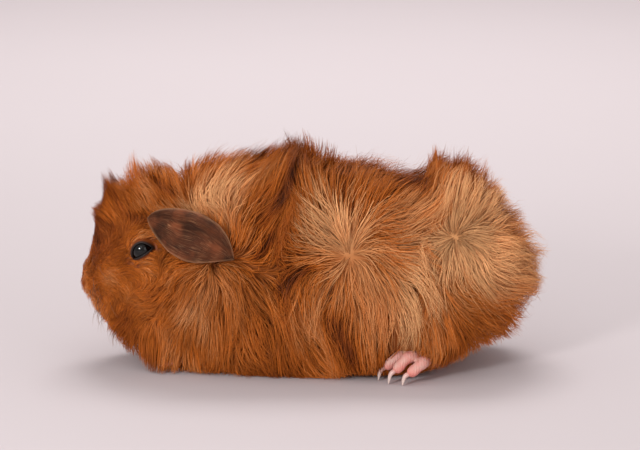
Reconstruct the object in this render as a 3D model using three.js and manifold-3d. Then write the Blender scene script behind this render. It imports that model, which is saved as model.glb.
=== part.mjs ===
// A life-size Abyssinian guinea pig, lying stretched on its belly, as closed solids in millimetres.
// +X runs from the nose to the rump, +Y to the animal's right side and +Z up. The origin is on the floor,
// under the middle of the box that holds it. The solids reach the tips of the coat.
import * as THREE from "three";
import { mergeVertices } from "three/addons/utils/BufferGeometryUtils.js";
import Module from "manifold-3d";

const wasm = await Module();
wasm.setup();

// ---- Driving dimensions ----
const LENGTH = 220; // nose to the last hair of the rump
const GAP = 0.3; // between neighbouring solids
const BELOW_FLOOR = 12; // how far the belly is made too low, before the floor cuts it flat
const LEFT = -1; // the animal's left is -Y
const RIGHT = 1;
const SIDES = { left: LEFT, right: RIGHT };

// Mesh fineness.
const RING_SIDES = 28;
const RINGS = 40;
const TUBE_SIDES = 6;
const TUBE_STEPS = 1; // per stretch between two points of a tube
const CLAW_SIDES = 5;
const BALL_SIDES = 12;

// The coat's outer form: the top and bottom of its side view as [x, z], and half its breadth there.
const STATIONS = [
  { at: "nose tip", top: [-110, 43.5], bottom: [-110, 42.5], half: 0 },
  { at: "nostrils", top: [-109.6, 47], bottom: [-109.2, 39], half: 5.5 },
  { at: "lips", top: [-108, 51.5], bottom: [-106, 35], half: 11 },
  { at: "muzzle", top: [-105, 59], bottom: [-102, 28.5], half: 15.5 },
  { at: "bridge", top: [-103, 69], bottom: [-99.5, 20], half: 18.8 },
  { at: "brow", top: [-99.5, 82.5], bottom: [-94.5, 10], half: 22 },
  { at: "forehead", top: [-87, 90], bottom: [-85, 1], half: 25.4 },
  { at: "cheeks", top: [-66, 93], bottom: [-66, -9], half: 33 },
  { at: "nape", top: [-40, 98.5], bottom: [-40, -BELOW_FLOOR], half: 40 },
  { at: "withers", top: [-12, 101], bottom: [-12, -BELOW_FLOOR], half: 44 },
  { at: "back", top: [16, 99], bottom: [14, -BELOW_FLOOR], half: 47.5 },
  { at: "loin", top: [42, 94], bottom: [40, -BELOW_FLOOR], half: 50 },
  { at: "hips", top: [66, 94], bottom: [62, -9], half: 50 },
  { at: "rump", top: [83, 89], bottom: [80, 2], half: 45 },
  { at: "seat", top: [96, 75], bottom: [94, 11], half: 36 },
  { at: "tail end", top: [104.5, 60], bottom: [101.5, 24], half: 24 },
  { at: "stern", top: [108.6, 50], bottom: [107.4, 35], half: 11 },
  { at: "last hair", top: [110, 43.5], bottom: [110, 42.5], half: 0 },
];
const WIDEST = 0.4; // height of the broadest line, as a share of the section's height
// Superellipse powers: 2 is an ellipse. Below, the round chin passes into the flat belly.
const UPPER_SQUARENESS = 2.3;
const LOWER_SQUARENESS = { chin: 2.2, belly: 3, from: -85, to: -45 };

// Crests stand up where the hair of two rosettes meets. `turn` is the angle from the top of the
// back down each side, in degrees, `along` and `across` are the half lengths in mm and degrees.
const CRESTS = [
  { at: "brow tuft", x: -103, turn: 0, height: 2.5, along: 5, across: 28 },
  { at: "crown", x: -76, turn: 0, height: 7, along: 9, across: 36 },
  { at: "withers", x: -6, turn: 0, height: 7, along: 12, across: 34 },
  { at: "shoulder", x: -14, turn: 48, height: 3.5, along: 9, across: 26 },
  { at: "back", x: 26, turn: 0, height: 3, along: 10, across: 30 },
  { at: "croup", x: 59, turn: 0, height: 6, along: 6, across: 30 },
  { at: "rump", x: 72, turn: 0, height: 7, along: 11, across: 34 },
];
// Hollows lie where the hair turns out from a rosette, and where it leaves the toes bare.
const HOLLOWS = [
  { at: "ear base", x: -47, turn: 84, depth: 1.5, reach: 10 },
  { at: "flank", x: 19, turn: 72, depth: 3.5, reach: 15 },
  { at: "hip", x: 72, turn: 62, depth: 2.5, reach: 15 },
  { at: "loin", x: 42, turn: 0, depth: 1.5, reach: 8 },
  { at: "over the hind toes", x: 38, turn: 132, depth: 7, reach: 13 },
];

const EYE = { x: -80.3, y: 22.2, z: 59.2, radius: 5.6 };

// An ear is a leaf from its root at the crown to its tip, which hangs back and down.
const EAR = {
  root: [-77.5, 27.5, 75.5],
  tip: [-36.3, 42, 58.4],
  breadth: 10.6, // half its widest
  thickness: 1.6,
  cup: 3.2, // how far its middle bulges out
  broadest: { upper: 1.27, lower: 1.16 }, // powers that place the widest part along the leaf
  fullness: { upper: 0.55, lower: 0.7 },
  steps: 12,
  rows: 6,
};

// Legs: the hind foot has three toes and the fore foot four. Points are [x, y, z] on the right side.
const HAUNCH = { centre: [62, 40, 26], radii: [31, 26, 34] };
const SHOULDER = { centre: [-50, 33, 20], radii: [19, 22, 30] };
const FEET = {
  hind: {
    heel: [77, 30, 5],
    instep: [57, 39, 9.5],
    width: [4.5, 5.6],
    toes: [
      { knuckle: [40.5, 38.6, 11], end: [34, 39.6, 6.6] },
      { knuckle: [44.5, 44, 12.4], end: [38.6, 46, 6.6] },
      { knuckle: [50.5, 46.5, 10], end: [45, 48.6, 5.6] },
    ],
    toeRadius: 2.2,
    claw: { reach: [-3.4, 0.8], radius: 1.1 },
  },
  fore: {
    heel: [-51, 18, 5],
    instep: [-62, 18.5, 5.5],
    width: [4.2, 4.6],
    toes: [
      { knuckle: [-66.5, 13.3, 5], end: [-71, 11.5, 3.2] },
      { knuckle: [-67.5, 16.7, 5.6], end: [-73.5, 16.1, 3.2] },
      { knuckle: [-67.5, 20.3, 5.6], end: [-73.5, 21.1, 3.2] },
      { knuckle: [-66.5, 23.5, 5], end: [-71, 25.9, 3.2] },
    ],
    toeRadius: 1.8,
    claw: { reach: [-3.8, 0.4], radius: 0.8 },
  },
};

// The plane cuts between head, neck and trunk: where each meets the back and the floor.
const HEAD_CUT = { top: -52, bottom: -62 };
const NECK_CUT = { top: -24, bottom: -34 };

// ---- Materials ----
const matte = (colour, roughness) =>
  new THREE.MeshStandardMaterial({ color: colour, roughness, metalness: 0 });
const COAT = matte(0xa5622f, 0.85);
const EAR_SKIN = matte(0x5e3625, 0.6);
const FOOT_SKIN = matte(0xb97d72, 0.55);
const CLAW_HORN = matte(0xd9b6a8, 0.35);
const EYE_BLACK = matte(0x120b08, 0.05);

// ---- Solids ----
function solidOf(geometry) {
  const bare = geometry.clone();
  bare.deleteAttribute("normal");
  bare.deleteAttribute("uv");
  const merged = mergeVertices(bare, 1e-4);
  return new wasm.Manifold(
    new wasm.Mesh({
      numProp: 3,
      vertProperties: new Float32Array(merged.attributes.position.array),
      triVerts: new Uint32Array(merged.index.array),
    }),
  );
}

function geometryOf(solid) {
  const mesh = solid.getMesh();
  const geometry = new THREE.BufferGeometry();
  geometry.setAttribute("position", new THREE.BufferAttribute(mesh.vertProperties, 3));
  geometry.setIndex(new THREE.BufferAttribute(mesh.triVerts, 1));
  geometry.computeVertexNormals();
  return geometry;
}

// Closes a stack of equal rings of points with a point at each end. Rings run anticlockwise, seen
// from the last one.
function skinOver(rings, firstPole, lastPole) {
  const sides = rings[0].length;
  const points = [firstPole, ...rings.flat(), lastPole];
  const faces = [];
  const at = (ring, side) => 1 + ring * sides + (side % sides);
  const end = points.length - 1;
  for (let side = 0; side < sides; side++) {
    faces.push(0, at(0, side), at(0, side + 1));
    faces.push(end, at(rings.length - 1, side + 1), at(rings.length - 1, side));
    for (let ring = 0; ring + 1 < rings.length; ring++) {
      faces.push(at(ring, side), at(ring + 1, side + 1), at(ring, side + 1));
      faces.push(at(ring, side), at(ring + 1, side), at(ring + 1, side + 1));
    }
  }
  const geometry = new THREE.BufferGeometry().setFromPoints(points);
  geometry.setIndex(faces);
  return geometry;
}

// A smooth curve through one value of every station.
function stationCurve(pick) {
  const curve = new THREE.CatmullRomCurve3(STATIONS.map((s) => new THREE.Vector3(...pick(s))));
  return (share) => curve.getPoint(share);
}
const topOf = stationCurve((s) => [s.top[0], 0, s.top[1]]);
const bottomOf = stationCurve((s) => [s.bottom[0], 0, s.bottom[1]]);
const halfOf = stationCurve((s) => [0, s.half, 0]);

const signedPower = (value, power) => Math.sign(value) * Math.abs(value) ** power;
const bell = (distance, reach) => Math.exp(-((distance / reach) ** 2));

// How far the crests and hollows lift the coat at x, `turn` degrees down from the top of the back.
function relief(x, turn) {
  let lift = 0;
  for (const crest of CRESTS)
    lift += crest.height * bell(x - crest.x, crest.along) * bell(turn - crest.turn, crest.across);
  for (const hollow of HOLLOWS)
    lift -= hollow.depth * bell(x - hollow.x, hollow.reach) * bell(turn - hollow.turn, 1.3 * hollow.reach);
  return lift;
}

// A point of the coat: `share` from nose to rump, `angle` round from the top. `grow` moves it out.
function coatPoint(share, angle, grow) {
  const top = topOf(share);
  const bottom = bottomOf(share);
  const middle = bottom.clone().lerp(top, WIDEST);
  const up = Math.cos(angle);
  const out = Math.sin(angle);
  const { chin, belly, from, to } = LOWER_SQUARENESS;
  const lower = THREE.MathUtils.lerp(chin, belly, THREE.MathUtils.smoothstep(middle.x, from, to));
  const power = 2 / (up > 0 ? UPPER_SQUARENESS : lower);
  const point = middle.clone().lerp(up > 0 ? top : bottom, Math.abs(signedPower(up, power)));
  point.y = halfOf(share).y * signedPower(out, power);
  const turn = THREE.MathUtils.radToDeg(Math.acos(up));
  const away = new THREE.Vector3(0, out, up);
  return point.addScaledVector(away, grow + relief(point.x, turn));
}

function bodySolid(grow = 0) {
  const rings = [];
  for (let ring = 1; ring < RINGS; ring++) {
    // Rings crowd towards both ends, where the form is tightest.
    const even = ring / RINGS;
    const share = even - 0.07 * Math.sin(2 * Math.PI * even);
    const points = [];
    for (let side = 0; side < RING_SIDES; side++)
      points.push(coatPoint(share, (2 * Math.PI * side) / RING_SIDES, grow));
    rings.push(points);
  }
  const nose = coatPoint(0, Math.PI / 2, 0).add(new THREE.Vector3(-grow, 0, 0));
  const stern = coatPoint(1, Math.PI / 2, 0).add(new THREE.Vector3(grow, 0, 0));
  return solidOf(skinOver(rings, nose, stern));
}

// A round tube through `points`, with one radius each, closed with rounded ends.
function taperedTube(points, radii, sides = TUBE_SIDES) {
  const curve = new THREE.CatmullRomCurve3(points);
  const steps = TUBE_STEPS * (points.length - 1);
  const frames = curve.computeFrenetFrames(steps, false);
  const radiusAt = (share) => {
    const place = share * (radii.length - 1);
    const from = Math.min(Math.floor(place), radii.length - 2);
    return THREE.MathUtils.lerp(radii[from], radii[from + 1], place - from);
  };
  const rings = [];
  const ringAt = (share, step, radius, shift) => {
    const centre = curve.getPoint(share).addScaledVector(frames.tangents[step], shift);
    const ring = [];
    for (let side = 0; side < sides; side++) {
      const angle = (-2 * Math.PI * side) / sides;
      ring.push(
        centre
          .clone()
          .addScaledVector(frames.normals[step], radius * Math.cos(angle))
          .addScaledVector(frames.binormals[step], radius * Math.sin(angle)),
      );
    }
    rings.push(ring);
  };
  const first = radiusAt(0);
  const last = radiusAt(1);
  ringAt(0, 0, 0.75 * first, -0.6 * first);
  for (let step = 0; step <= steps; step++) ringAt(step / steps, step, radiusAt(step / steps), 0);
  ringAt(1, steps, 0.75 * last, 0.6 * last);
  const firstPole = curve.getPoint(0).addScaledVector(frames.tangents[0], -first);
  const lastPole = curve.getPoint(1).addScaledVector(frames.tangents[steps], last);
  return solidOf(skinOver(rings, firstPole, lastPole));
}

function ellipsoid({ centre, radii }, side, grow) {
  const ball = new THREE.SphereGeometry(1, BALL_SIDES, BALL_SIDES - 2);
  ball.scale(...radii.map((r) => r + grow));
  ball.translate(centre[0], side * centre[1], centre[2]);
  return solidOf(ball);
}

// A box that holds everything in front of a cut plane, moved back by `shift`.
function inFrontOf(cut, shift) {
  const reach = 2 * LENGTH;
  const box = new THREE.BoxGeometry(reach, reach, reach);
  box.translate(-reach / 2 + shift, 0, 0);
  const height = 100;
  box.rotateY(Math.atan2(cut.top - cut.bottom, height));
  box.translate(cut.bottom, 0, 0);
  return solidOf(box);
}

function aboveFloor() {
  const reach = 2 * LENGTH;
  const box = new THREE.BoxGeometry(reach, reach, reach);
  box.translate(0, 0, reach / 2);
  return solidOf(box);
}

const onSide = ([x, y, z], side) => new THREE.Vector3(x, side * y, z);

function footSolid(foot, side, grow) {
  const [narrow, wide] = foot.width.map((w) => w + grow);
  const heel = onSide(foot.heel, side);
  const instep = onSide(foot.instep, side);
  let made = taperedTube([heel, heel.clone().lerp(instep, 0.5), instep], [narrow, wide, wide]);
  for (const toe of foot.toes) {
    const knuckle = onSide(toe.knuckle, side);
    const end = onSide(toe.end, side);
    const r = foot.toeRadius + grow;
    const toePoints = [instep.clone().lerp(knuckle, 0.3), knuckle, end];
    made = made.add(taperedTube(toePoints, [1.3 * r, 1.15 * r, 0.9 * r]));
  }
  return made;
}

// A claw leaves the toe's end, curves down and stops on the floor.
function clawSolid(foot, toe, side, grow) {
  const end = onSide(toe.end, side);
  const knuckle = onSide(toe.knuckle, side);
  const forward = end.clone().sub(knuckle).normalize();
  const { reach, radius } = foot.claw;
  const root = end.clone().addScaledVector(forward, 0.5 * foot.toeRadius);
  const tip = new THREE.Vector3(end.x + reach[0], end.y + side * reach[1], 0.35);
  const bend = root.clone().lerp(tip, 0.5).add(new THREE.Vector3(-0.9, 0, 1.2));
  const radii = [radius, 0.8 * radius, 0.3].map((r) => r + grow);
  return taperedTube([root, bend, tip], radii, CLAW_SIDES);
}

function earSolid(side) {
  const root = onSide(EAR.root, side);
  const tip = onSide(EAR.tip, side);
  const axis = tip.clone().sub(root);
  const length = axis.length();
  axis.normalize();
  const outward = new THREE.Vector3(0, side, 0.25);
  outward.addScaledVector(axis, -outward.dot(axis)).normalize();
  const up = new THREE.Vector3().crossVectors(outward, axis).multiplyScalar(-side).normalize();
  const halfAt = (u, edge) =>
    EAR.breadth * Math.max(0, Math.sin(Math.PI * u ** EAR.broadest[edge])) ** EAR.fullness[edge];
  const rings = [];
  for (let step = 1; step < EAR.steps; step++) {
    const u = step / EAR.steps;
    const ring = [];
    // Round each section: out along the outer face from the lower edge to the upper, back along the inner.
    for (let i = 0; i < 2 * EAR.rows; i++) {
      const around = (Math.PI * i) / EAR.rows;
      const across = -Math.cos(around);
      const half = halfAt(u, across > 0 ? "upper" : "lower");
      const bulge = EAR.cup * Math.sin(Math.PI * u) * (1 - across * across);
      ring.push(
        root
          .clone()
          .addScaledVector(axis, u * length)
          .addScaledVector(up, across * half)
          .addScaledVector(outward, bulge + 0.5 * EAR.thickness * Math.sin(around)),
      );
    }
    rings.push(side === LEFT ? ring : ring.reverse());
  }
  return solidOf(skinOver(rings, root, tip));
}

function eyeSolid(side, grow) {
  const { x, y, z, radius } = EYE;
  return ellipsoid({ centre: [x, y, z], radii: [radius, radius, radius] }, side, grow);
}

// ---- Assembly ----
const model = new THREE.Group();
model.name = "guinea_pig";

// Cuts can leave specks beside a piece, so only its largest body is kept.
function addNode(name, solid, material) {
  const [largest] = solid.decompose().sort((a, b) => b.volume() - a.volume());
  const mesh = new THREE.Mesh(geometryOf(largest), material);
  mesh.name = name;
  model.add(mesh);
}

const floorCut = aboveFloor();
const whole = bodySolid().intersect(floorCut);
const wholeGrown = bodySolid(GAP);

let head = whole.intersect(inFrontOf(HEAD_CUT, -GAP / 2));
let neck = whole.subtract(inFrontOf(HEAD_CUT, GAP / 2)).intersect(inFrontOf(NECK_CUT, -GAP / 2));
let trunk = whole.subtract(inFrontOf(NECK_CUT, GAP / 2));

for (const [sideName, side] of Object.entries(SIDES)) {
  head = head.subtract(eyeSolid(side, GAP));
  addNode(`eye_${sideName}`, eyeSolid(side, 0), EYE_BLACK);
  addNode(`ear_${sideName}`, earSolid(side).subtract(wholeGrown), EAR_SKIN);

  for (const [legName, bulk] of Object.entries({ hind: HAUNCH, fore: SHOULDER })) {
    const foot = FEET[legName];
    const aroundFoot = footSolid(foot, side, GAP);
    let pawRoom = aroundFoot;
    for (const [i, toe] of foot.toes.entries()) {
      const claw = clawSolid(foot, toe, side, 0).subtract(aroundFoot);
      addNode(`${legName}_claw_${sideName}_${i + 1}`, claw, CLAW_HORN);
      pawRoom = pawRoom.add(clawSolid(foot, toe, side, GAP));
    }
    addNode(`${legName}_foot_${sideName}`, footSolid(foot, side, 0).intersect(floorCut), FOOT_SKIN);

    const leg = whole.intersect(ellipsoid(bulk, side, 0)).subtract(pawRoom);
    addNode(`${legName}_leg_${sideName}`, leg, COAT);
    const legRoom = ellipsoid(bulk, side, GAP).add(pawRoom);
    head = head.subtract(legRoom);
    neck = neck.subtract(legRoom);
    trunk = trunk.subtract(legRoom);
  }
}
addNode("head", head, COAT);
addNode("neck", neck, COAT);
addNode("trunk", trunk, COAT);

export default model;
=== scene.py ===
"""A life-size Abyssinian guinea pig, lying stretched on its belly: skin, coat, ears, eyes and feet.

Sizes are millimetres in the frame of the solids, where +X runs from the nose to the rump, +Y to the
animal's right and +Z up from the floor. Each mesh is made in metres.
"""

from __future__ import annotations

import logging
import math
from dataclasses import dataclass, field
from enum import Enum
from typing import Iterable, Sequence

import bpy
import numpy as np
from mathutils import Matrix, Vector, noise
from mathutils.bvhtree import BVHTree
from mathutils.kdtree import KDTree


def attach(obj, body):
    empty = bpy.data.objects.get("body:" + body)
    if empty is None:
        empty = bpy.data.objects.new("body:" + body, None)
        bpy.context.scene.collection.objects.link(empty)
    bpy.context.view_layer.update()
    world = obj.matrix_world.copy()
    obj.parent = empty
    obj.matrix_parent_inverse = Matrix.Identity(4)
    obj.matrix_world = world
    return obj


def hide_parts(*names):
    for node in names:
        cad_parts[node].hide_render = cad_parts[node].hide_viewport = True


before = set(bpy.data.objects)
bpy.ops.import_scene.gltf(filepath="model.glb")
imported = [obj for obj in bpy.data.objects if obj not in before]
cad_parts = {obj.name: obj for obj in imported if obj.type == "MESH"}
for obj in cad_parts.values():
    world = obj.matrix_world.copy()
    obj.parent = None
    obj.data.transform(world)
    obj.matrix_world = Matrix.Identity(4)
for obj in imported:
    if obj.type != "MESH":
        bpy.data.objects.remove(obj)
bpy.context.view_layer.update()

LOG = logging.getLogger("guinea_pig")
MM = 0.001
Array = np.ndarray
Triple = tuple[float, float, float]
Form = tuple[Array, list[tuple[int, ...]]]
Piece = bpy.types.Object
Material = bpy.types.Material


class Side(Enum):
    """A side of the animal, as the sign of its y."""

    LEFT = -1
    RIGHT = 1

    @property
    def word(self) -> str:
        """The side's name as the solids' nodes spell it."""
        return self.name.lower()

    def of(self, place: Triple | Array) -> Array:
        """Moves a place or direction that is given for the right side to this side."""
        return np.array(place) * np.array([1.0, self.value, 1.0])


# ---- Small maths ----


def smoothstep(low: float, high: float, value: Array) -> Array:
    """Rises smoothly from 0 at low to 1 at high."""
    share = np.clip((value - low) / (high - low), 0.0, 1.0)
    return share * share * (3.0 - 2.0 * share)


def bell(distance: Array, reach: float) -> Array:
    """A soft hill of height 1 that has mostly gone at one reach and a half."""
    return np.exp(-((distance / reach) ** 2))


def unit(vectors: Array) -> Array:
    """Gives vectors, kept as rows, a length of 1."""
    length = np.linalg.norm(vectors, axis=-1, keepdims=True)
    return vectors / np.maximum(length, 1e-9)


def signed_power(value: Array, power: Array) -> Array:
    """Raises the size of a value to a power and keeps its sign."""
    return np.sign(value) * np.abs(value) ** power


def rows(kind: type, *table: tuple) -> tuple:
    """Makes one entry of a kind from each row of its values."""
    return tuple(kind(*row) for row in table)


def along_surface(vectors: Array, normals: Array) -> Array:
    """Takes out the part of each vector that leaves the surface."""
    return vectors - np.sum(vectors * normals, axis=1, keepdims=True) * normals


def smooth_curve(points: Array, share: Array) -> Array:
    """Runs a centripetal Catmull-Rom curve through points.

    Args:
        points: The curve's points, as rows.
        share: Places on it, from 0 at the first point to 1 at the last, by point count.

    Returns:
        One row for each place.
    """
    last = len(points) - 1
    place = np.clip(share, 0.0, 1.0) * last
    start = np.minimum(place.astype(int), last - 1)
    rest = (place - start)[:, None]
    padded = np.vstack([2 * points[0] - points[1], points, 2 * points[-1] - points[-2]])
    p0, p1, p2, p3 = (padded[start + k] for k in range(4))
    gap0, gap1, gap2 = (
        np.sqrt(np.linalg.norm(b - a, axis=1, keepdims=True)) for a, b in ((p0, p1), (p1, p2), (p2, p3))
    )
    gap1 = np.where(gap1 < 1e-4, 1.0, gap1)
    gap0 = np.where(gap0 < 1e-4, gap1, gap0)
    gap2 = np.where(gap2 < 1e-4, gap1, gap2)
    slope1 = ((p1 - p0) / gap0 - (p2 - p0) / (gap0 + gap1) + (p2 - p1) / gap1) * gap1
    slope2 = ((p2 - p1) / gap1 - (p3 - p1) / (gap1 + gap2) + (p3 - p2) / gap2) * gap1
    square = -3 * p1 + 3 * p2 - 2 * slope1 - slope2
    cube = 2 * p1 - 2 * p2 + slope1 + slope2
    return p1 + slope1 * rest + square * rest**2 + cube * rest**3


@dataclass(frozen=True)
class Chart:
    """A value that changes from nose to rump and from the back down each side.

    `turns` are degrees down from the top of the back. Each row is an x, then a value for each turn.
    """

    turns: tuple[float, ...]
    rows: tuple[tuple[float, ...], ...]

    def at(self, x: Array, turn: Array) -> Array:
        """Reads the chart at places on the body.

        Args:
            x: Places from nose to rump.
            turn: Degrees down from the top of the back.

        Returns:
            The value at each place.
        """
        xs, *values = np.array(self.rows, dtype=float).T
        columns = np.array([np.interp(x, xs, value) for value in values])
        place = np.interp(turn, self.turns, np.arange(len(self.turns), dtype=float))
        lower = np.minimum(place.astype(int), len(self.turns) - 2)
        rest = place - lower
        index = np.arange(len(place))
        return columns[lower, index] * (1 - rest) + columns[lower + 1, index] * rest


# ---- Meshes ----


def mesh_object(name: str, points: Array, faces: Sequence[Sequence[int]]) -> Piece:
    """Makes an object at the origin from points in millimetres.

    Args:
        name: The object's name.
        points: One row for each vertex.
        faces: Vertex indices of each face.

    Returns:
        The object, already in the scene, with smooth faces.
    """
    mesh = bpy.data.meshes.new(name)
    mesh.from_pydata((np.asarray(points) * MM).tolist(), [], [list(face) for face in faces])
    mesh.polygons.foreach_set("use_smooth", np.ones(len(mesh.polygons), dtype=bool))
    mesh.update()
    made = bpy.data.objects.new(name, mesh)
    bpy.context.scene.collection.objects.link(made)
    return made


def store(obj: Piece, **values: Array) -> None:
    """Keeps a number for each vertex under each name that a finish reads."""
    for key, value in values.items():
        obj.data.attributes.new(key, "FLOAT", "POINT").data.foreach_set("value", np.ravel(value))


def vertices_of(obj: Piece) -> Array:
    """Reads where an object's vertices are, in millimetres.

    Args:
        obj: The object.

    Returns:
        One row for each vertex.
    """
    points = np.empty(len(obj.data.vertices) * 3)
    obj.data.vertices.foreach_get("co", points)
    return points.reshape(-1, 3) / MM


def baked(obj: Piece) -> Piece:
    """Turns an object's modifiers into plain mesh and removes them.

    Args:
        obj: The object.

    Returns:
        The same object.
    """
    bpy.context.view_layer.update()
    graph = bpy.context.evaluated_depsgraph_get()
    shown = obj.evaluated_get(graph)
    mesh = bpy.data.meshes.new_from_object(shown, preserve_all_data_layers=True, depsgraph=graph)
    obj.modifiers.clear()
    old = obj.data
    obj.data = mesh
    mesh.name = obj.name
    bpy.data.meshes.remove(old)
    return obj


def ring_faces(rings: int, sides: int) -> list[tuple[int, ...]]:
    """Faces of a stack of closed rings with a pole before the first and after the last.

    Vertex 0 is the first pole, then come the rings in order, and the last vertex is the last pole.

    Args:
        rings: How many rings there are.
        sides: Points in each ring.

    Returns:
        Vertex indices of each face.
    """
    faces: list[tuple[int, ...]] = []
    last = 1 + rings * sides
    for side in range(sides):
        after = (side + 1) % sides
        faces.append((0, 1 + side, 1 + after))
        top = 1 + (rings - 1) * sides
        faces.append((last, top + after, top + side))
        for ring in range(rings - 1):
            low = 1 + ring * sides
            faces.append((low + side, low + sides + side, low + sides + after, low + after))
    return faces


def tube(path: Array, radii: Array, sides: int, flatten: float = 1.0) -> Form:
    """Sweeps a round or flattened section along a path and closes both ends.

    Args:
        path: Centre points, as rows.
        radii: A radius for each point.
        sides: Points round each ring.
        flatten: Height of the section as a share of its breadth.

    Returns:
        The points and the faces.
    """
    tangents = unit(np.gradient(path, axis=0))
    side_way = unit(np.cross(tangents, np.array([0.0, 0.0, 1.0])))
    up_way = np.cross(side_way, tangents)
    angles = -2 * np.pi * np.arange(sides) / sides
    rings = [
        centre + radius * (np.outer(np.cos(angles), across) + flatten * np.outer(np.sin(angles), up))
        for centre, radius, across, up in zip(path, radii, side_way, up_way)
    ]
    start = path[0] - 0.6 * radii[0] * tangents[0]
    end = path[-1] + 0.6 * radii[-1] * tangents[-1]
    return facing_out(np.vstack([start, *rings, end]), ring_faces(len(path), sides))


def facing_out(points: Array, faces: list[tuple[int, ...]]) -> Form:
    """Turns a closed form's faces outward where they point in.

    Args:
        points: The form's points.
        faces: Vertex indices of each face.

    Returns:
        The points and the faces.
    """
    fans = np.array([(face[0], face[k], face[k + 1]) for face in faces for k in range(1, len(face) - 1)])
    a, b, c = (points[fans[:, k]] for k in range(3))
    volume = np.sum(a * np.cross(b, c))
    return points, faces if volume > 0 else [face[::-1] for face in faces]


def merge_parts(parts: Iterable[Form]) -> Form:
    """Puts several point and face lists into one.

    Args:
        parts: Points and faces of each part.

    Returns:
        All points and all faces.
    """
    points: list[Array] = []
    faces: list[tuple[int, ...]] = []
    count = 0
    for part_points, part_faces in parts:
        points.append(part_points)
        faces += [tuple(index + count for index in face) for face in part_faces]
        count += len(part_points)
    return np.vstack(points), faces


# ---- The body's form ----


@dataclass(frozen=True)
class Station:
    """The top and bottom of the side view as (x, z), and half the breadth there."""

    top: tuple[float, float]
    bottom: tuple[float, float]
    half: float


@dataclass(frozen=True)
class Swell:
    """A crest (positive height) or hollow (negative) of the coat.

    `turn` is in degrees down from the top of the back, and `along` and `across` are half lengths.
    """

    x: float
    turn: float
    height: float
    along: float
    across: float


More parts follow.
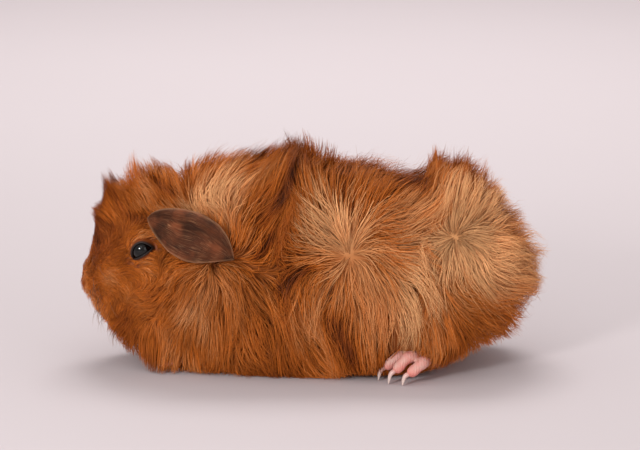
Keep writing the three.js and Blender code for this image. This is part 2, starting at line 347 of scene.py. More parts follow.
@dataclass(frozen=True)
class BodyForm:
    """The outer form of the coat, and the skin that lies under it by the coat's depth."""

    stations: tuple[Station, ...] = rows(
        Station, ((-112, 43), (-112, 42), 0), ((-111.2, 47), (-112.2, 37), 4.8),
        ((-108.2, 52), (-110.4, 32), 8.6), ((-105.8, 59.5), (-106, 26.8), 12.2),
        ((-104, 69.5), (-101.5, 21), 14.8), ((-98.6, 81), (-95.5, 14), 18.4),
        ((-87.5, 89), (-87, 6), 24.6), ((-66, 93), (-66, -6), 33), ((-40, 100.5), (-40, -12), 40),
        ((-12, 102.5), (-12, -12), 44), ((16, 99), (14, -12), 47.5), ((42, 94), (40, -12), 50),
        ((66, 94), (62, 0), 50), ((83, 89), (80, 8.5), 45), ((96, 75), (94, 14), 36),
        ((106.5, 60), (103.5, 25), 24), ((109.4, 50), (108.6, 35), 11), ((110, 43.5), (110, 42.5), 0),
    )
    swells: tuple[Swell, ...] = rows(
        Swell, (-98, 0, 1.5, 4, 26), (-105, 105, 1.8, 4, 22), (-76, 0, 7, 9, 36), (-6, 0, 7, 12, 34),
        (-14, 48, 3.5, 9, 26), (26, 0, 3, 10, 30), (59, 0, 6, 6, 30), (72, 0, 7, 11, 34),
        (-47, 84, -1.5, 10, 13), (19, 72, -3.5, 15, 19.5), (72, 62, -2.5, 15, 19.5),
        (42, 0, -1.5, 8, 10.4), (38, 132, -7, 13, 16.9),
    )
    rises: tuple[Swell, ...] = rows(
        Swell, (19, 72, 4.5, 12, 15), (72, 62, 4.5, 12, 15), (-47, 84, 3, 9, 12),
    )
    depth: Chart = Chart(
        (0, 60, 100, 150),
        (
            (-110, 1.2, 1.2, 1.2, 1.2), (-102, 3, 1.7, 1.7, 2.5), (-92, 6, 2.2, 2.2, 4.5),
            (-78, 9, 2.6, 2.6, 6), (-62, 10, 5.5, 5, 6), (-45, 11, 9.5, 9, 6), (0, 12, 12, 12, 6),
            (60, 12, 12, 12, 6), (90, 12, 12, 12, 9), (110, 12, 12, 12, 12),
        ),
    )
    widest: float = 0.4
    upper_squareness: float = 2.3
    chin_squareness: float = 2.2
    belly_squareness: float = 3.0
    end_crowding: float = 0.07
    nose_depth: float = 1.2
    rump_depth: float = 12.0
    rump_end: float = 96.4
    belly_level: float = 2.6
    coat_level: float = 0.35

    def share(self, even: Array) -> Array:
        """Places rings so that they crowd towards both ends."""
        return even - self.end_crowding * np.sin(2 * np.pi * even)

    @staticmethod
    def relief(swells: Iterable[Swell], x: Array, turn: Array) -> Array:
        """How far crests and hollows lift a surface."""
        return sum(s.height * bell(x - s.x, s.along) * bell(turn - s.turn, s.across) for s in swells)

    def surfaces(self, share: Array, angle: Array) -> tuple[Array, Array]:
        """Points of the coat's outer form and of the skin under it.

        Args:
            share: Place from nose to rump, from 0 to 1.
            angle: Angle round from the top of the back, positive to the right.

        Returns:
            The coat's points and the skin's, as rows.
        """
        top = smooth_curve(np.array([(s.top[0], 0.0, s.top[1]) for s in self.stations]), share)
        bottom = smooth_curve(np.array([(s.bottom[0], 0.0, s.bottom[1]) for s in self.stations]), share)
        half = smooth_curve(np.array([(0.0, s.half, 0.0) for s in self.stations]), share)[:, 1]
        middle = bottom + (top - bottom) * self.widest
        up = np.cos(angle)
        out = np.sin(angle)
        belly = smoothstep(-85, -45, middle[:, 0])
        lower = self.chin_squareness + (self.belly_squareness - self.chin_squareness) * belly
        power = 2 / np.where(up > 0, self.upper_squareness, lower)
        edge = np.where(up[:, None] > 0, top, bottom)
        base = middle + (edge - middle) * (np.abs(up) ** power)[:, None]
        base[:, 1] = half * signed_power(out, power)
        turn = np.degrees(np.arccos(np.clip(up, -1, 1)))
        away = np.stack([np.zeros_like(up), out, up], axis=1)
        coat = base + away * self.relief(self.swells, base[:, 0], turn)[:, None]
        coat[:, 2] = np.maximum(coat[:, 2], self.coat_level)
        radius = np.hypot(base[:, 1], base[:, 2] - middle[:, 2])
        depth = self.depth.at(base[:, 0], turn) - self.relief(self.rises, base[:, 0], turn)
        depth = depth / np.cbrt(1 + (depth / np.maximum(0.9 * radius, 1e-6)) ** 3)
        skin = base - away * depth[:, None]
        skin[:, 0] += self.nose_depth * bell(base[:, 0] + 110, 8)
        skin[:, 0] -= self.rump_depth * smoothstep(60, 110, base[:, 0]) ** 2
        skin[:, 0] = np.minimum(skin[:, 0], self.rump_end)
        skin[:, 2] = np.maximum(skin[:, 2], self.belly_level)
        return coat, skin


@dataclass(frozen=True)
class EyePlace:
    """An eye: where it sits, its ball and the opening of its lids, in the right side's coordinates.

    The opening is a half moon on a chord that slants up to the rear. `upper` and `lower` are how far
    the lids' edges stand from the chord, and `skew` moves the upper lid's top to the rear.
    """

    centre: Triple = (-80.3, 21.6, 59.2)
    radius: float = 5.7
    facing: Triple = (-0.22, 1.0, 0.1)
    slant: float = 30.0
    half_length: float = 5.4
    upper: float = 5.0
    lower: float = 0.9
    chord: float = -2.0
    skew: float = 0.14
    thickness: float = 0.75
    mound: float = 5.0
    cornea: float = 0.35
    rings: int = 30
    sides: int = 48

    def axes(self, side: Side) -> tuple[Array, Array, Array, Array]:
        """The eye's centre and its axes: along the lids, up, and out.

        Args:
            side: Which side.

        Returns:
            The centre and the three directions.
        """
        out = unit(side.of(self.facing))
        slant = math.radians(self.slant)
        raw = np.array([math.cos(slant), 0.0, math.sin(slant)])
        along = unit(raw - raw.dot(out) * out)
        up = unit(np.cross(out, along) * -side.value)
        return side.of(self.centre), along, up, out

    def outline(self, count: int) -> Array:
        """Points round the opening, as (along, up), anticlockwise from its rear corner.

        Args:
            count: How many points to give.

        Returns:
            The points, as rows.
        """
        phase = 2 * np.pi * np.arange(count) / count
        along = np.cos(phase)
        rise = np.abs(np.sin(phase))
        top = self.chord + self.upper * rise**1.25 * (1 + self.skew * along)
        bottom = self.chord - self.lower * rise**1.6
        return np.stack([self.half_length * along, np.where(np.sin(phase) >= 0, top, bottom)], axis=1)

    def distance(self, flat: Array) -> Array:
        """How far (along, up) places are outside the opening's edge, negative inside.

        Args:
            flat: Places as (along, up) rows.

        Returns:
            The distances in millimetres.
        """
        ring = self.outline(160)
        after = np.roll(ring, -1, axis=0)
        edge = after - ring
        offset = flat[:, None, :] - ring[None, :, :]
        share = np.clip(np.sum(offset * edge, axis=2) / np.sum(edge**2, axis=1), 0, 1)
        gap = np.linalg.norm(offset - share[:, :, None] * edge[None, :, :], axis=2).min(axis=1)
        y, y0, y1 = flat[:, 1:2], ring[None, :, 1], after[None, :, 1]
        spans = (y0 > y) != (y1 > y)
        cut = ring[None, :, 0] + (y - y0) / np.where(spans, y1 - y0, 1.0) * edge[None, :, 0]
        inside = (spans & (flat[:, :1] < cut)).sum(axis=1) % 2 == 1
        return np.where(inside, -gap, gap)

    def cover(self, flat: Array, natural: Array, distance: Array) -> Array:
        """Height of the lids' outer face, from the ball at their edge down to the skin around."""
        ball = np.sqrt(np.maximum((self.radius + self.thickness) ** 2 - np.sum(flat**2, axis=1), 1.0))
        return ball + (natural - ball) * smoothstep(0.4, self.mound, distance)

    def outside(self, points: Array, side: Side) -> Array:
        """How far points near an eye are outside its opening, and 99 for all others.

        Args:
            points: Places, as rows.
            side: Which side.

        Returns:
            The distances in millimetres.
        """
        centre, along, up, out = self.axes(side)
        local = points - centre
        flat = np.stack([local @ along, local @ up], axis=1)
        near = np.flatnonzero((local @ out > -1) & (np.linalg.norm(local, axis=1) < 4 * self.radius))
        distance = np.full(len(points), 99.0)
        distance[near] = self.distance(flat[near])
        return distance

    def build(self, side: Side, material: Material) -> Piece:
        """A glossy ball with a slightly raised cornea.

        Args:
            side: Which eye.
            material: Its finish.

        Returns:
            The eye's object.
        """
        centre, along, up, out = self.axes(side)
        rings, sides = self.rings, self.sides
        polar = np.pi * np.arange(1, rings + 1) / (rings + 1)
        around = 2 * np.pi * np.arange(sides) / sides * side.value
        raised = self.cornea * smoothstep(0.95, 0.35, polar)
        hoop = np.outer(np.cos(around), along) + np.outer(np.sin(around), up)
        hoops = [
            centre
            + (self.radius + raised[k] * math.cos(polar[k])) * math.cos(polar[k]) * out
            + self.radius * math.sin(polar[k]) * hoop
            for k in range(rings)
        ]
        points = np.vstack([centre + (self.radius + self.cornea) * out, *hoops, centre - self.radius * out])
        eye = mesh_object(f"eyeball_{side.word}", points, ring_faces(rings, sides))
        iris = smoothstep(0.30, 0.42, polar) * smoothstep(1.0, 0.8, polar)
        store(eye, gaze=np.concatenate([[0.0], np.repeat(iris, sides), [0.0]]))
        eye.data.materials.append(material)
        return eye


@dataclass(frozen=True)
class HeadDetail:
    """The finer forms of the face that the skin carries."""

    eye: EyePlace = EyePlace()
    nostril: Triple = (-112.0, 3.3, 44.4)
    nostril_radius: float = 1.3
    nostril_depth: float = 2.2
    wing: float = 0.35
    mouth_level: float = 33.4
    mouth_from: float = -98.0
    mouth_depth: float = 1.6
    cleft_depth: float = 0.9

    def nostril_on(self, points: Array, side: Side) -> Array:
        """The point of a surface that is nearest to a nostril's place."""
        return points[np.argmin(np.sum((points - side.of(self.nostril)) ** 2, axis=1))]

    def carve(self, points: Array, normals: Array) -> Array:
        """Moves skin points to form the lids, nostrils, cleft and mouth.

        Args:
            points: The skin's points.
            normals: Their outward directions.

        Returns:
            The moved points.
        """
        shaped = points.copy()
        sunk = np.zeros(len(points))
        x, y, z = points.T
        for side in Side:
            offset = points - self.nostril_on(points, side)
            # A nostril is a comma: a round pit with a tail that runs up and out, under a raised wing.
            tail = offset[:, 2] - 0.8 * side.value * offset[:, 1]
            spread = np.sum(offset**2, axis=1)
            sunk += self.nostril_depth * np.exp(-(spread + 0.7 * tail**2) / self.nostril_radius**2)
            sunk -= self.wing * bell(np.sqrt(spread) - 1.9 * self.nostril_radius, 0.8)
        front = smoothstep(self.mouth_from, self.mouth_from - 5, x)
        droop = 0.12 * np.abs(y)
        sunk += self.mouth_depth * front * bell(z - self.mouth_level + droop, 1.0)
        between = smoothstep(self.mouth_level - 1, self.mouth_level + 1, z) * smoothstep(43, 40, z)
        sunk += self.cleft_depth * front * between * bell(y, 0.8)
        shaped -= normals * sunk[:, None]
        for side in Side:
            shaped = self._raise_lids(shaped, side)
        return shaped

    def _raise_lids(self, points: Array, side: Side) -> Array:
        """Brings the skin round an eye onto the ball, and sinks it inside the opening.

        Args:
            points: Places, as rows.
            side: Which side.

        Returns:
            The moved points.
        """
        eye = self.eye
        centre, along, up, out = eye.axes(side)
        local = points - centre
        distance = eye.outside(points, side)
        flat = np.stack([local @ along, local @ up], axis=1)
        height = local @ out
        level = eye.cover(flat, height, distance) - 0.08
        level = np.where(distance < 1.0, np.minimum(level - 2.5, 2.0), level)
        move = np.where(distance < eye.mound, level - height, 0.0)
        return points + np.outer(move, out)


@dataclass
class SkinLattice:
    """The skin as a lattice of rings, with what the coat needs to know at each place."""

    form: BodyForm = field(default_factory=BodyForm)
    head: HeadDetail = field(default_factory=HeadDetail)
    rings: int = 250
    sides: int = 208
    nose_tip: Triple = (-112, 0, 42)

    def __post_init__(self) -> None:
        """Works out the surfaces, the faces and where each point sits in the coat."""
        even = np.arange(1, self.rings + 1) / (self.rings + 1)
        turns = 2 * np.pi * np.arange(self.sides) / self.sides
        share, angle = np.meshgrid(self.form.share(even), turns, indexing="ij")
        ends = self.form.surfaces(np.array([0.0, 1.0]), np.array([np.pi / 2, np.pi / 2]))
        body = self.form.surfaces(share.ravel(), angle.ravel())
        self.angle = np.concatenate([[0.0], angle.ravel(), [0.0]])
        self.even = np.concatenate([[0.0], np.repeat(even, self.sides), [1.0]])
        self.coat, plain = (np.vstack([end[:1], ring, end[1:]]) for end, ring in zip(ends, body))
        plain[[0, -1], 1] = 0.0
        self.faces = facing_out(plain, ring_faces(self.rings, self.sides))[1]
        self.plain = plain
        self.skin = self.head.carve(plain, self._normals(plain))
        self.normals = self._normals(self.skin)
        self.turn = np.degrees(np.arccos(np.clip(np.cos(self.angle), -1, 1)))

    def _normals(self, points: Array) -> Array:
        """Outward directions at every point of the lattice.

        Args:
            points: The lattice's points.

        Returns:
            A unit direction for each.
        """
        mesh = bpy.data.meshes.new("lattice_normals")
        mesh.from_pydata(points.tolist(), [], self.faces)
        normals = np.empty(len(points) * 3)
        mesh.vertex_normals.foreach_get("vector", normals)
        bpy.data.meshes.remove(mesh)
        return normals.reshape(-1, 3)

    def thinness(self, points: Array) -> Array:
        """How thin the coat is: 1 at the nose's tip and the lids' edges, 0 on the body."""
        lids = sum(smoothstep(3.0, 0.5, self.head.eye.outside(points, side)) for side in Side)
        return np.clip(bell(np.linalg.norm(points - self.nose_tip, axis=1), 5) + 0.25 * lids, 0, 1)

    def nearest(self, point: Array) -> int:
        """The lattice point whose skin is nearest to a place."""
        return int(np.argmin(np.sum((self.skin - point) ** 2, axis=1)))

    def pits(self, points: Array) -> Array:
        """How deep inside a nostril or the mouth's corner line a point is, from 0 to 1.

        Args:
            points: Places, as rows.

        Returns:
            The depth at each, from 0 to 1.
        """
        value = np.zeros(len(points))
        for side in Side:
            spot = self.head.nostril_on(self.skin, side)
            value = np.maximum(value, bell(np.linalg.norm(points - spot, axis=1), 1.3))
        line = bell(points[:, 2] - self.head.mouth_level + 0.12 * np.abs(points[:, 1]), 0.6)
        return np.maximum(value, 0.7 * line * (points[:, 0] < self.head.mouth_from))

    @property
    def standoff(self) -> Array:
        """The way from each skin point to the coat's outer form."""
        return self.coat - self.skin


# ---- The lie of the coat ----


@dataclass(frozen=True)
class Stroke:
    """One stroke of the comb on the left side, mirrored to the right.

    x and z are its place in the side view, heading is the way that the hair points there, in degrees
    up from straight back, and reach is how far the stroke is felt.
    """

    x: float
    z: float
    heading: float
    reach: float


@dataclass(frozen=True)
class Spot:
    """A place of the side view, for both sides: the centre of a rosette, or a patch of the markings.

    In a rosette hair spreads out all round, and `droop` turns it down as it goes. A patch is pale with a
    strength above 0 and dark below.
    """

    x: float
    z: float
    reach: float
    strength: float
    droop: float = 0.0


@dataclass(frozen=True)
class Combing:
    """The way that the hair lies, as whorls and strokes of the comb."""

    whorls: tuple[Spot, ...] = rows(
        Spot, (18, 61, 17, 2.2, 0.5), (66, 72, 12, 0.8, 0.25), (-47, 58, 15, 1.3, 0.3),
    )
    strokes: tuple[Stroke, ...] = rows(
        Stroke,
        # The face.
        (-105, 44, 20, 4), (-101, 41, -10, 4.5), (-101, 59, 84, 4.5), (-97, 71, 98, 4.5),
        (-99, 82, 108, 4.5), (-80, 50, -6, 4.5), (-82, 66, 20, 3.5), (-75, 69, -8, 4),
        (-92, 39, -22, 4.5), (-96, 52, 15, 5), (-78, 36, 204, 6.5), (-88, 24, 222, 5.5),
        (-96, 28, 236, 4.5), (-70, 15, 250, 7),
        # The crown.
        (-90, 81, 126, 4.5), (-88, 90, 118, 4.5), (-81, 86, 142, 4.5), (-69, 83, 152, 4.5),
        (-77, 94, 118, 4), (-67, 92, 122, 4), (-40, 73, 140, 5), (-48, 78, 138, 4.5), (-57, 85, 100, 4),
        (-52, 91, 50, 4.5),
        # The neck.
        (-41, 93, 30, 5.5), (-28, 97, 28, 5.5), (-33, 66, 80, 4), (-33, 84, 62, 5),
        (-21, 91, 52, 5.5), (-26, 69, 58, 4.5), (-19, 82, 58, 4.5), (-13, 99, 66, 4), (-5, 98, 98, 4),
        (-19, 62, 70, 3.5),
        # The flank.
        (-3, 83, 116, 4.5), (4, 92, 100, 4.5), (-4, 71, 148, 4.5), (-5, 61, 180, 4),
        (16, 94, 72, 5), (32, 93, 45, 5), (44, 89, 25, 5), (42, 80, 12, 5), (37, 64, -6, 4.5),
        (46, 53, -48, 5), (40, 41, -76, 6), (28, 38, -90, 6), (17, 33, -94, 6), (6, 40, -116, 6),
        (-6, 39, -100, 5.5), (22, 17, -88, 7), (7, 24, -57, 5.5), (-5, 16, -66, 6),
        # The chest.
        (-19, 25, -64, 6), (-24, 10, -68, 7), (-14, 40, -82, 4.5), (-46, 24, -92, 7),
        (-53, 9, -98, 7), (-63, 29, 230, 6), (-32, 33, -72, 5),
        # The rump.
        (57, 82, 22, 4.5), (59, 92, 62, 4), (53, 36, -82, 5), (43, 21, -102, 6),
        (73, 88, 75, 5), (64, 97, 80, 4.5), (84, 87, 52, 4.5), (91, 69, 12, 5), (97, 55, -6, 5),
        (91, 39, -22, 5), (86, 25, -32, 5), (77, 21, -48, 5.5), (66, 17, -76, 5.5), (62, 38, -70, 4.5),
        (75, 40, -46, 5),
    )
    widening: float = 1.35
    idle: float = 0.004
    heart: float = 4.5
    spine: float = 9.0

    def flow(self, skin: SkinLattice) -> tuple[Array, Array, Array]:
        """Works out the hair's direction everywhere on the skin.

        Args:
            skin: The skin's lattice.

        Returns:
            A unit direction along the skin for each point, how well the strokes agree there, from 0
            where hair meets head on to 1, and how near it is to the heart of a rosette.
        """
        mirror = np.where(skin.skin[:, 1] > 0, -1.0, 1.0)
        to_left = np.stack([np.ones_like(mirror), mirror, np.ones_like(mirror)], axis=1)
        points, normals = skin.skin * to_left, skin.normals * to_left
        left = np.flatnonzero((skin.skin[:, 1] < 0) & (skin.turn < 150))
        back = along_surface(np.tile([1.0, 0.0, -0.25], (len(points), 1)), normals)
        total = self.idle * unit(back)
        weight = np.full(len(points), self.idle)
        heart = np.zeros(len(points))
        for whorl in self.whorls:
            centre = self._find(skin, left, whorl.x, whorl.z)
            spoke = points - points[centre]
            distance = np.linalg.norm(spoke, axis=1)
            way = unit(along_surface(spoke, normals))
            way[:, 2] -= whorl.droop * np.minimum(distance / whorl.reach, 1.6)
            way = unit(along_surface(way, normals))
            pull = whorl.strength * bell(distance, whorl.reach)
            heart = np.maximum(heart, bell(distance, self.heart))
            total += way * pull[:, None]
            weight += pull
        for stroke in self.strokes:
            centre = self._find(skin, left, stroke.x, stroke.z)
            way = self._heading(normals[centre], stroke.heading)
            distance = np.linalg.norm(points - points[centre], axis=1)
            pull = bell(distance, self.widening * stroke.reach)
            total += unit(along_surface(np.tile(way, (len(points), 1)), normals)) * pull[:, None]
            weight += pull
        mean = total / weight[:, None]
        turned = np.radians([self._wander(spot) for spot in skin.skin])[:, None]
        mean = mean * np.cos(turned) + np.cross(normals, mean) * np.sin(turned)
        mean[:, 1] *= mirror * smoothstep(0.0, self.spine, np.abs(points[:, 1]))
        mean = along_surface(mean, skin.normals)
        return unit(mean), np.linalg.norm(mean, axis=1), heart

    def _wander(self, spot: Array) -> float:
        """Degrees by which the lie of the coat strays from the comb at a place."""
        place = Vector(spot)
        return 26 * noise.noise(place / 13) + 13 * noise.noise(place / 5 + Vector((9, 4, 2)))

    @staticmethod
    def _find(skin: SkinLattice, left: Array, x: float, z: float) -> int:
        """The lattice point on the left side whose coat lies at a place of the side view."""
        offset = skin.coat[left][:, [0, 2]] - np.array([x, z])
        return int(left[np.argmin(np.sum(offset**2, axis=1))])

    @staticmethod
    def _heading(normal: Array, degrees: float) -> Array:
        """Turns a heading into a direction along the skin, where up means towards the back.

        Args:
            normal: The skin's direction there.
            degrees: The heading.

        Returns:
            A unit direction.
        """
        back = unit(np.array([1.0, 0.0, 0.0]) - normal[0] * normal)
        up = np.cross(back, normal)
        if up[2] < 0:
            up = -up
        angle = math.radians(degrees)
        return back * math.cos(angle) + up * math.sin(angle)


@dataclass(frozen=True)
class Crease:
    """A line of painted shade where the coat parts, on both sides, between two places of the side view."""

    start: tuple[float, float]
    end: tuple[float, float]
    reach: float
    strength: float

    def at(self, points: Array) -> Array:
        """How strongly the line darkens each point.

        Args:
            points: Places, as rows.

        Returns:
            The change of the markings at each.
        """
        start = np.array(self.start)
        way = np.array(self.end) - start
        flat = points[:, [0, 2]] - start
        share = np.clip(flat @ way / way.dot(way), 0, 1)
        return self.strength * bell(np.linalg.norm(flat - share[:, None] * way, axis=1), self.reach)


@dataclass(frozen=True)
class Markings:
    """Where the self-red coat is paler or darker, with painted shade in its partings and hollows. Skin and
    coat read the same patches.
    """

    patches: tuple[Spot, ...] = rows(
        Spot, (12, 67, 9, 1), (14, 80, 8, -0.5), (38, 52, 9, 0.45), (5, 40, 8, 0.45), (21, 46, 8, 0.2),
        (42, 46, 10, 0.6), (36, 64, 10, 0.5), (24, 38, 8, 0.3), (62, 71, 10, 1), (73, 61, 9, 1),
        (81, 75, 9, 0.65), (86, 50, 10, 0.65), (98, 62, 9, 0.35), (-47, 76, 8, 1.15), (-38, 70, 7, 0.6),
        (-57, 38, 10, 0.25), (-82, 32, 12, -0.2), (-101, 60, 9, -0.65), (-96, 81, 8, -0.65),
        (-84, 18, 12, -0.2), (-70, 84, 7, 0.3), (-40, 97, 8, -0.2), (1, 25, 6, 0.3), (-75, 24, 7, 0.15),
        (-12, 92, 10, -0.55), (-2, 78, 8, -0.4), (-27, 66, 8, -0.5), (-6, 56, 8, -0.5),
        (2, 98, 8, -0.45), (-16, 20, 16, -0.3), (40, 94, 9, -0.05), (64, 87, 8, -0.95),
        (78, 86, 8, -0.6), (30, 92, 9, -0.35), (90, 26, 14, -0.1), (30, 14, 14, -0.2),
        # The last patch is painted shadow: dark fur where the chest meets the floor over the fore feet.
        (-73, 5, 7, -0.9),
    )
    mottle: float = 0.22
    mottle_size: float = 11.0
    # The creases are painted shade: dark lines in the hollows and partings of the coat and where tufts
    # overhang it.
    creases: tuple[Crease, ...] = rows(
        Crease, ((-76, 91), (-65, 84.5), 1.8, -1.5), ((-61, 92), (-59.5, 84), 1.3, -0.9),
        ((-29, 97), (-22, 104), 2, -0.9), ((-101.5, 72), (-95, 69), 2.2, -0.7),
        ((-95, 84), (-91, 79), 2, -0.5), ((-90, 76), (-79, 72), 2.4, -0.6),
        ((-9, 99), (-12, 90), 2.2, -1.2), ((-12, 90), (-16, 83), 2, -1.2),
        ((-18, 69), (-26, 58), 1.8, -1.3), ((-2, 54), (-16, 44), 1.8, -1.3),
        ((51, 46), (52, 22), 2, -0.8), ((8, 30), (18, 10), 4.2, -1.25), ((42, 95), (53, 90), 2.8, -1.2),
        ((15, 88), (17, 80), 1.1, -1.2),
    )

    def at(self, points: Array) -> Array:
        """Reads the markings at places on the skin or coat.

        Args:
            points: Places, as rows.

        Returns:
            The marking at each, about 0 for dark and 1 for pale.
        """
        value = np.zeros(len(points))
        for patch in self.patches:
            distance = np.hypot(points[:, 0] - patch.x, points[:, 2] - patch.z)
            value += patch.strength * bell(distance, patch.reach)
        spots = [noise.noise(Vector(point) / self.mottle_size) for point in points]
        return 0.5 + 0.5 * value + self.mottle * np.array(spots)

    def parted(self, points: Array) -> Array:
        """The painted shade of the partings: how much they darken places on the skin or in the coat."""
        return 0.5 * sum(crease.at(points) for crease in self.creases)


# ---- Finishes ----


def srgb(red: int, green: int, blue: int) -> tuple[float, float, float, float]:
    """Turns a colour as seen on a screen into the shader's own values."""
    shown = (red / 255, green / 255, blue / 255)
    return (*(v / 12.92 if v <= 0.04045 else ((v + 0.055) / 1.055) ** 2.4 for v in shown), 1.0)


class Wire:
    """One output of a shader node, with maths written as ordinary operators."""

    def __init__(self, tree: ShaderTree, socket: bpy.types.NodeSocket) -> None:
        """Keeps the tree and the socket."""
        self.tree = tree
        self.socket = socket

    def maths(self, operation: str, *values: Wire | float) -> Wire:
        """Adds one Math node."""
        inputs = dict(enumerate(values))
        return self.tree.wire("ShaderNodeMath", {"operation": operation}, inputs)

    def __add__(self, other: Wire | float) -> Wire:
        """Adds a value."""
        return self.maths("ADD", self, other)

    def __radd__(self, other: float) -> Wire:
        """Adds to a number."""
        return self.maths("ADD", other, self)

    def __sub__(self, other: Wire | float) -> Wire:
        """Takes a value away."""
        return self.maths("SUBTRACT", self, other)

    def __rsub__(self, other: float) -> Wire:
        """Takes this away from a number."""
        return self.maths("SUBTRACT", other, self)

    def __mul__(self, other: Wire | float) -> Wire:
        """Multiplies by a value."""
        return self.maths("MULTIPLY", self, other)

    def __rmul__(self, other: float) -> Wire:
        """Multiplies a number."""
        return self.maths("MULTIPLY", other, self)

    def clamped(self) -> Wire:
        """Keeps the value from 0 to 1."""
        node = self.tree.add("ShaderNodeClamp", {}, {0: self})
        return Wire(self.tree, node.outputs[0])


def add_node(tree: bpy.types.NodeTree, kind: str, settings: dict, inputs: dict) -> bpy.types.Node:
    """Adds a node to a tree, sets it and connects its inputs.

    Args:
        tree: The tree.
        kind: Blender's name of the node.
        settings: Values of its properties, and the stops of a ramp as (place, colour).
        inputs: A value, a socket or a wire for each input, by name or number.

    Returns:
        The node.
    """
    node = tree.nodes.new(kind)
    for key, value in settings.items():
        if key == "stops":
            while len(node.color_ramp.elements) < len(value):
                node.color_ramp.elements.new(0.5)
            for element, (stop, colour) in zip(node.color_ramp.elements, value):
                element.position, element.color = stop, colour
        else:
            setattr(node, key, value)
    for key, value in inputs.items():
        source = value.socket if isinstance(value, Wire) else value
        if isinstance(source, bpy.types.NodeSocket):
            tree.links.new(source, node.inputs[key])
        else:
            node.inputs[key].default_value = source
    return node


class ShaderTree:
    """Makes and links the nodes of one material."""

    def __init__(self, name: str) -> None:
        """Starts an empty material.

        Args:
            name: The material's name.
        """
        self.material = bpy.data.materials.new(name)
        self.material.use_nodes = True
        self.tree = self.material.node_tree
        self.tree.nodes.clear()

    def add(self, kind: str, settings: dict, inputs: dict) -> bpy.types.Node:
        """Adds a node to the material."""
        return add_node(self.tree, kind, settings, inputs)

    def wire(self, kind: str, settings: dict, inputs: dict, output: int = 0) -> Wire:
        """Adds a node and gives one of its outputs."""
        return Wire(self, self.add(kind, settings, inputs).outputs[output])

    def attribute(self, name: str) -> Wire:
        """Reads a number kept on the mesh."""
        return self.wire("ShaderNodeAttribute", {"attribute_name": name}, {}, output=2)

    def place(self) -> Wire:
        """The place on the object."""
        return self.wire("ShaderNodeTexCoord", {}, {}, output=3)

    def noise(self, scale: float, detail: float = 2.0, place: Wire | None = None) -> Wire:
        """Soft noise from 0 to 1 over the object, with `scale` spots in a metre."""
        where = place or self.place()
        return self.wire("ShaderNodeTexNoise", {}, {"Vector": where, "Scale": scale, "Detail": detail})

    def streaks(self, across: float, along: float, sweep: tuple[Wire, Wire] | None = None) -> Wire:
        """Fine lines along each strand, on its patch of the bake map, or along a given sweep.

        Args:
            across: How many lines there are over a width of 1.
            along: How many times they change over a length of 1.
            sweep: How far across and along each place is. The bake map, where it is left out.

        Returns:
            The lines, from 0 to 1.
        """
        if sweep:
            place = self.wire("ShaderNodeCombineXYZ", {}, {0: sweep[0], 1: sweep[1]})
        else:
            place = self.wire("ShaderNodeUVMap", {"uv_map": "OFBake"}, {})
        stretch = (across, along, 1.0)
        drawn = self.wire("ShaderNodeVectorMath", {"operation": "MULTIPLY"}, {0: place, 1: stretch})
        return self.wire("ShaderNodeTexNoise", {"noise_dimensions": "2D"}, {"Vector": drawn, "Scale": 1.0})

    def blend(self, share: Wire | float, first: Wire | tuple, second: Wire | tuple, how: str = "MIX") -> Wire:
        """Mixes two colours."""
        settings = {"data_type": "RGBA", "blend_type": how, "clamp_factor": True}
        return self.wire("ShaderNodeMix", settings, {0: share, 6: first, 7: second}, output=2)

    def scaled(self, colour: Wire, strength: Wire) -> Wire:
        """Makes a colour brighter or darker."""
        return self.wire("ShaderNodeVectorMath", {"operation": "SCALE"}, {0: colour, 3: strength})

    def bump(self, height: Wire, strength: float, depth: float) -> Wire:
        """Turns a height into a bump, `depth` millimetres deep."""
        inputs = {"Height": height, "Strength": strength, "Distance": depth * MM}
        return self.wire("ShaderNodeBump", {}, inputs)

    def finish(self, **inputs: Wire | float | tuple) -> Material:
        """Closes the material with a Principled shader, whose sockets are named in words.

        Returns:
            The material.
        """
        named = {key.replace("_", " ").title().replace("Ior", "IOR"): value for key, value in inputs.items()}
        shader = self.wire("ShaderNodeBsdfPrincipled", {}, named)
        self.add("ShaderNodeOutputMaterial", {}, {"Surface": shader})
        return self.material


@dataclass(frozen=True)
class CoatColours:
    """The colours of the hair and of the skin under it."""

    # The deepest stop is mostly painted shade, reached in the partings and hollows, and partly the coat's own
    # darkest tone.
    deepest: tuple = srgb(66, 28, 8)
    dark: tuple = srgb(138, 64, 16)
    middle: tuple = srgb(198, 106, 34)
    pale: tuple = srgb(243, 180, 122)
    root: tuple = srgb(128, 66, 28)
    skin: tuple = srgb(168, 104, 78)
    # Painted shade inside the nostrils and along the mouth's line.
    pit: tuple = srgb(40, 22, 16)

    def ramp(self, tree: ShaderTree) -> Wire:
        """The coat's colour for its markings, whose lowest values are mostly painted shade."""
        stops = ((0.0, self.deepest), (0.2, self.dark), (0.5, self.middle), (0.92, self.pale))
        return tree.wire("ShaderNodeValToRGB", {"stops": stops}, {0: tree.attribute("marking")})


@dataclass(frozen=True)
class CoatFinish:
    """Hair: its markings, a darker root where it is not pale, and strands that differ a little."""

    colours: CoatColours

    def material(self) -> Material:
        """Builds the material.

        Returns:
            The material.
        """
        tree = ShaderTree("coat_hair")
        along = tree.attribute("along")
        tint = tree.attribute("tint")
        base = self.colours.ramp(tree)
        root = (1 - (along * 2.4).clamped()) * (1.05 - 0.75 * tree.attribute("marking")).clamped()
        rooted = tree.blend(root, base, self.colours.root)
        fine = tree.streaks(2600, 900)
        shade = (0.52 + 0.66 * tint) * (0.7 + 0.6 * fine)
        colour = tree.scaled(rooted, shade)
        return tree.finish(base_color=colour, roughness=0.5, specular_ior_level=0.12)


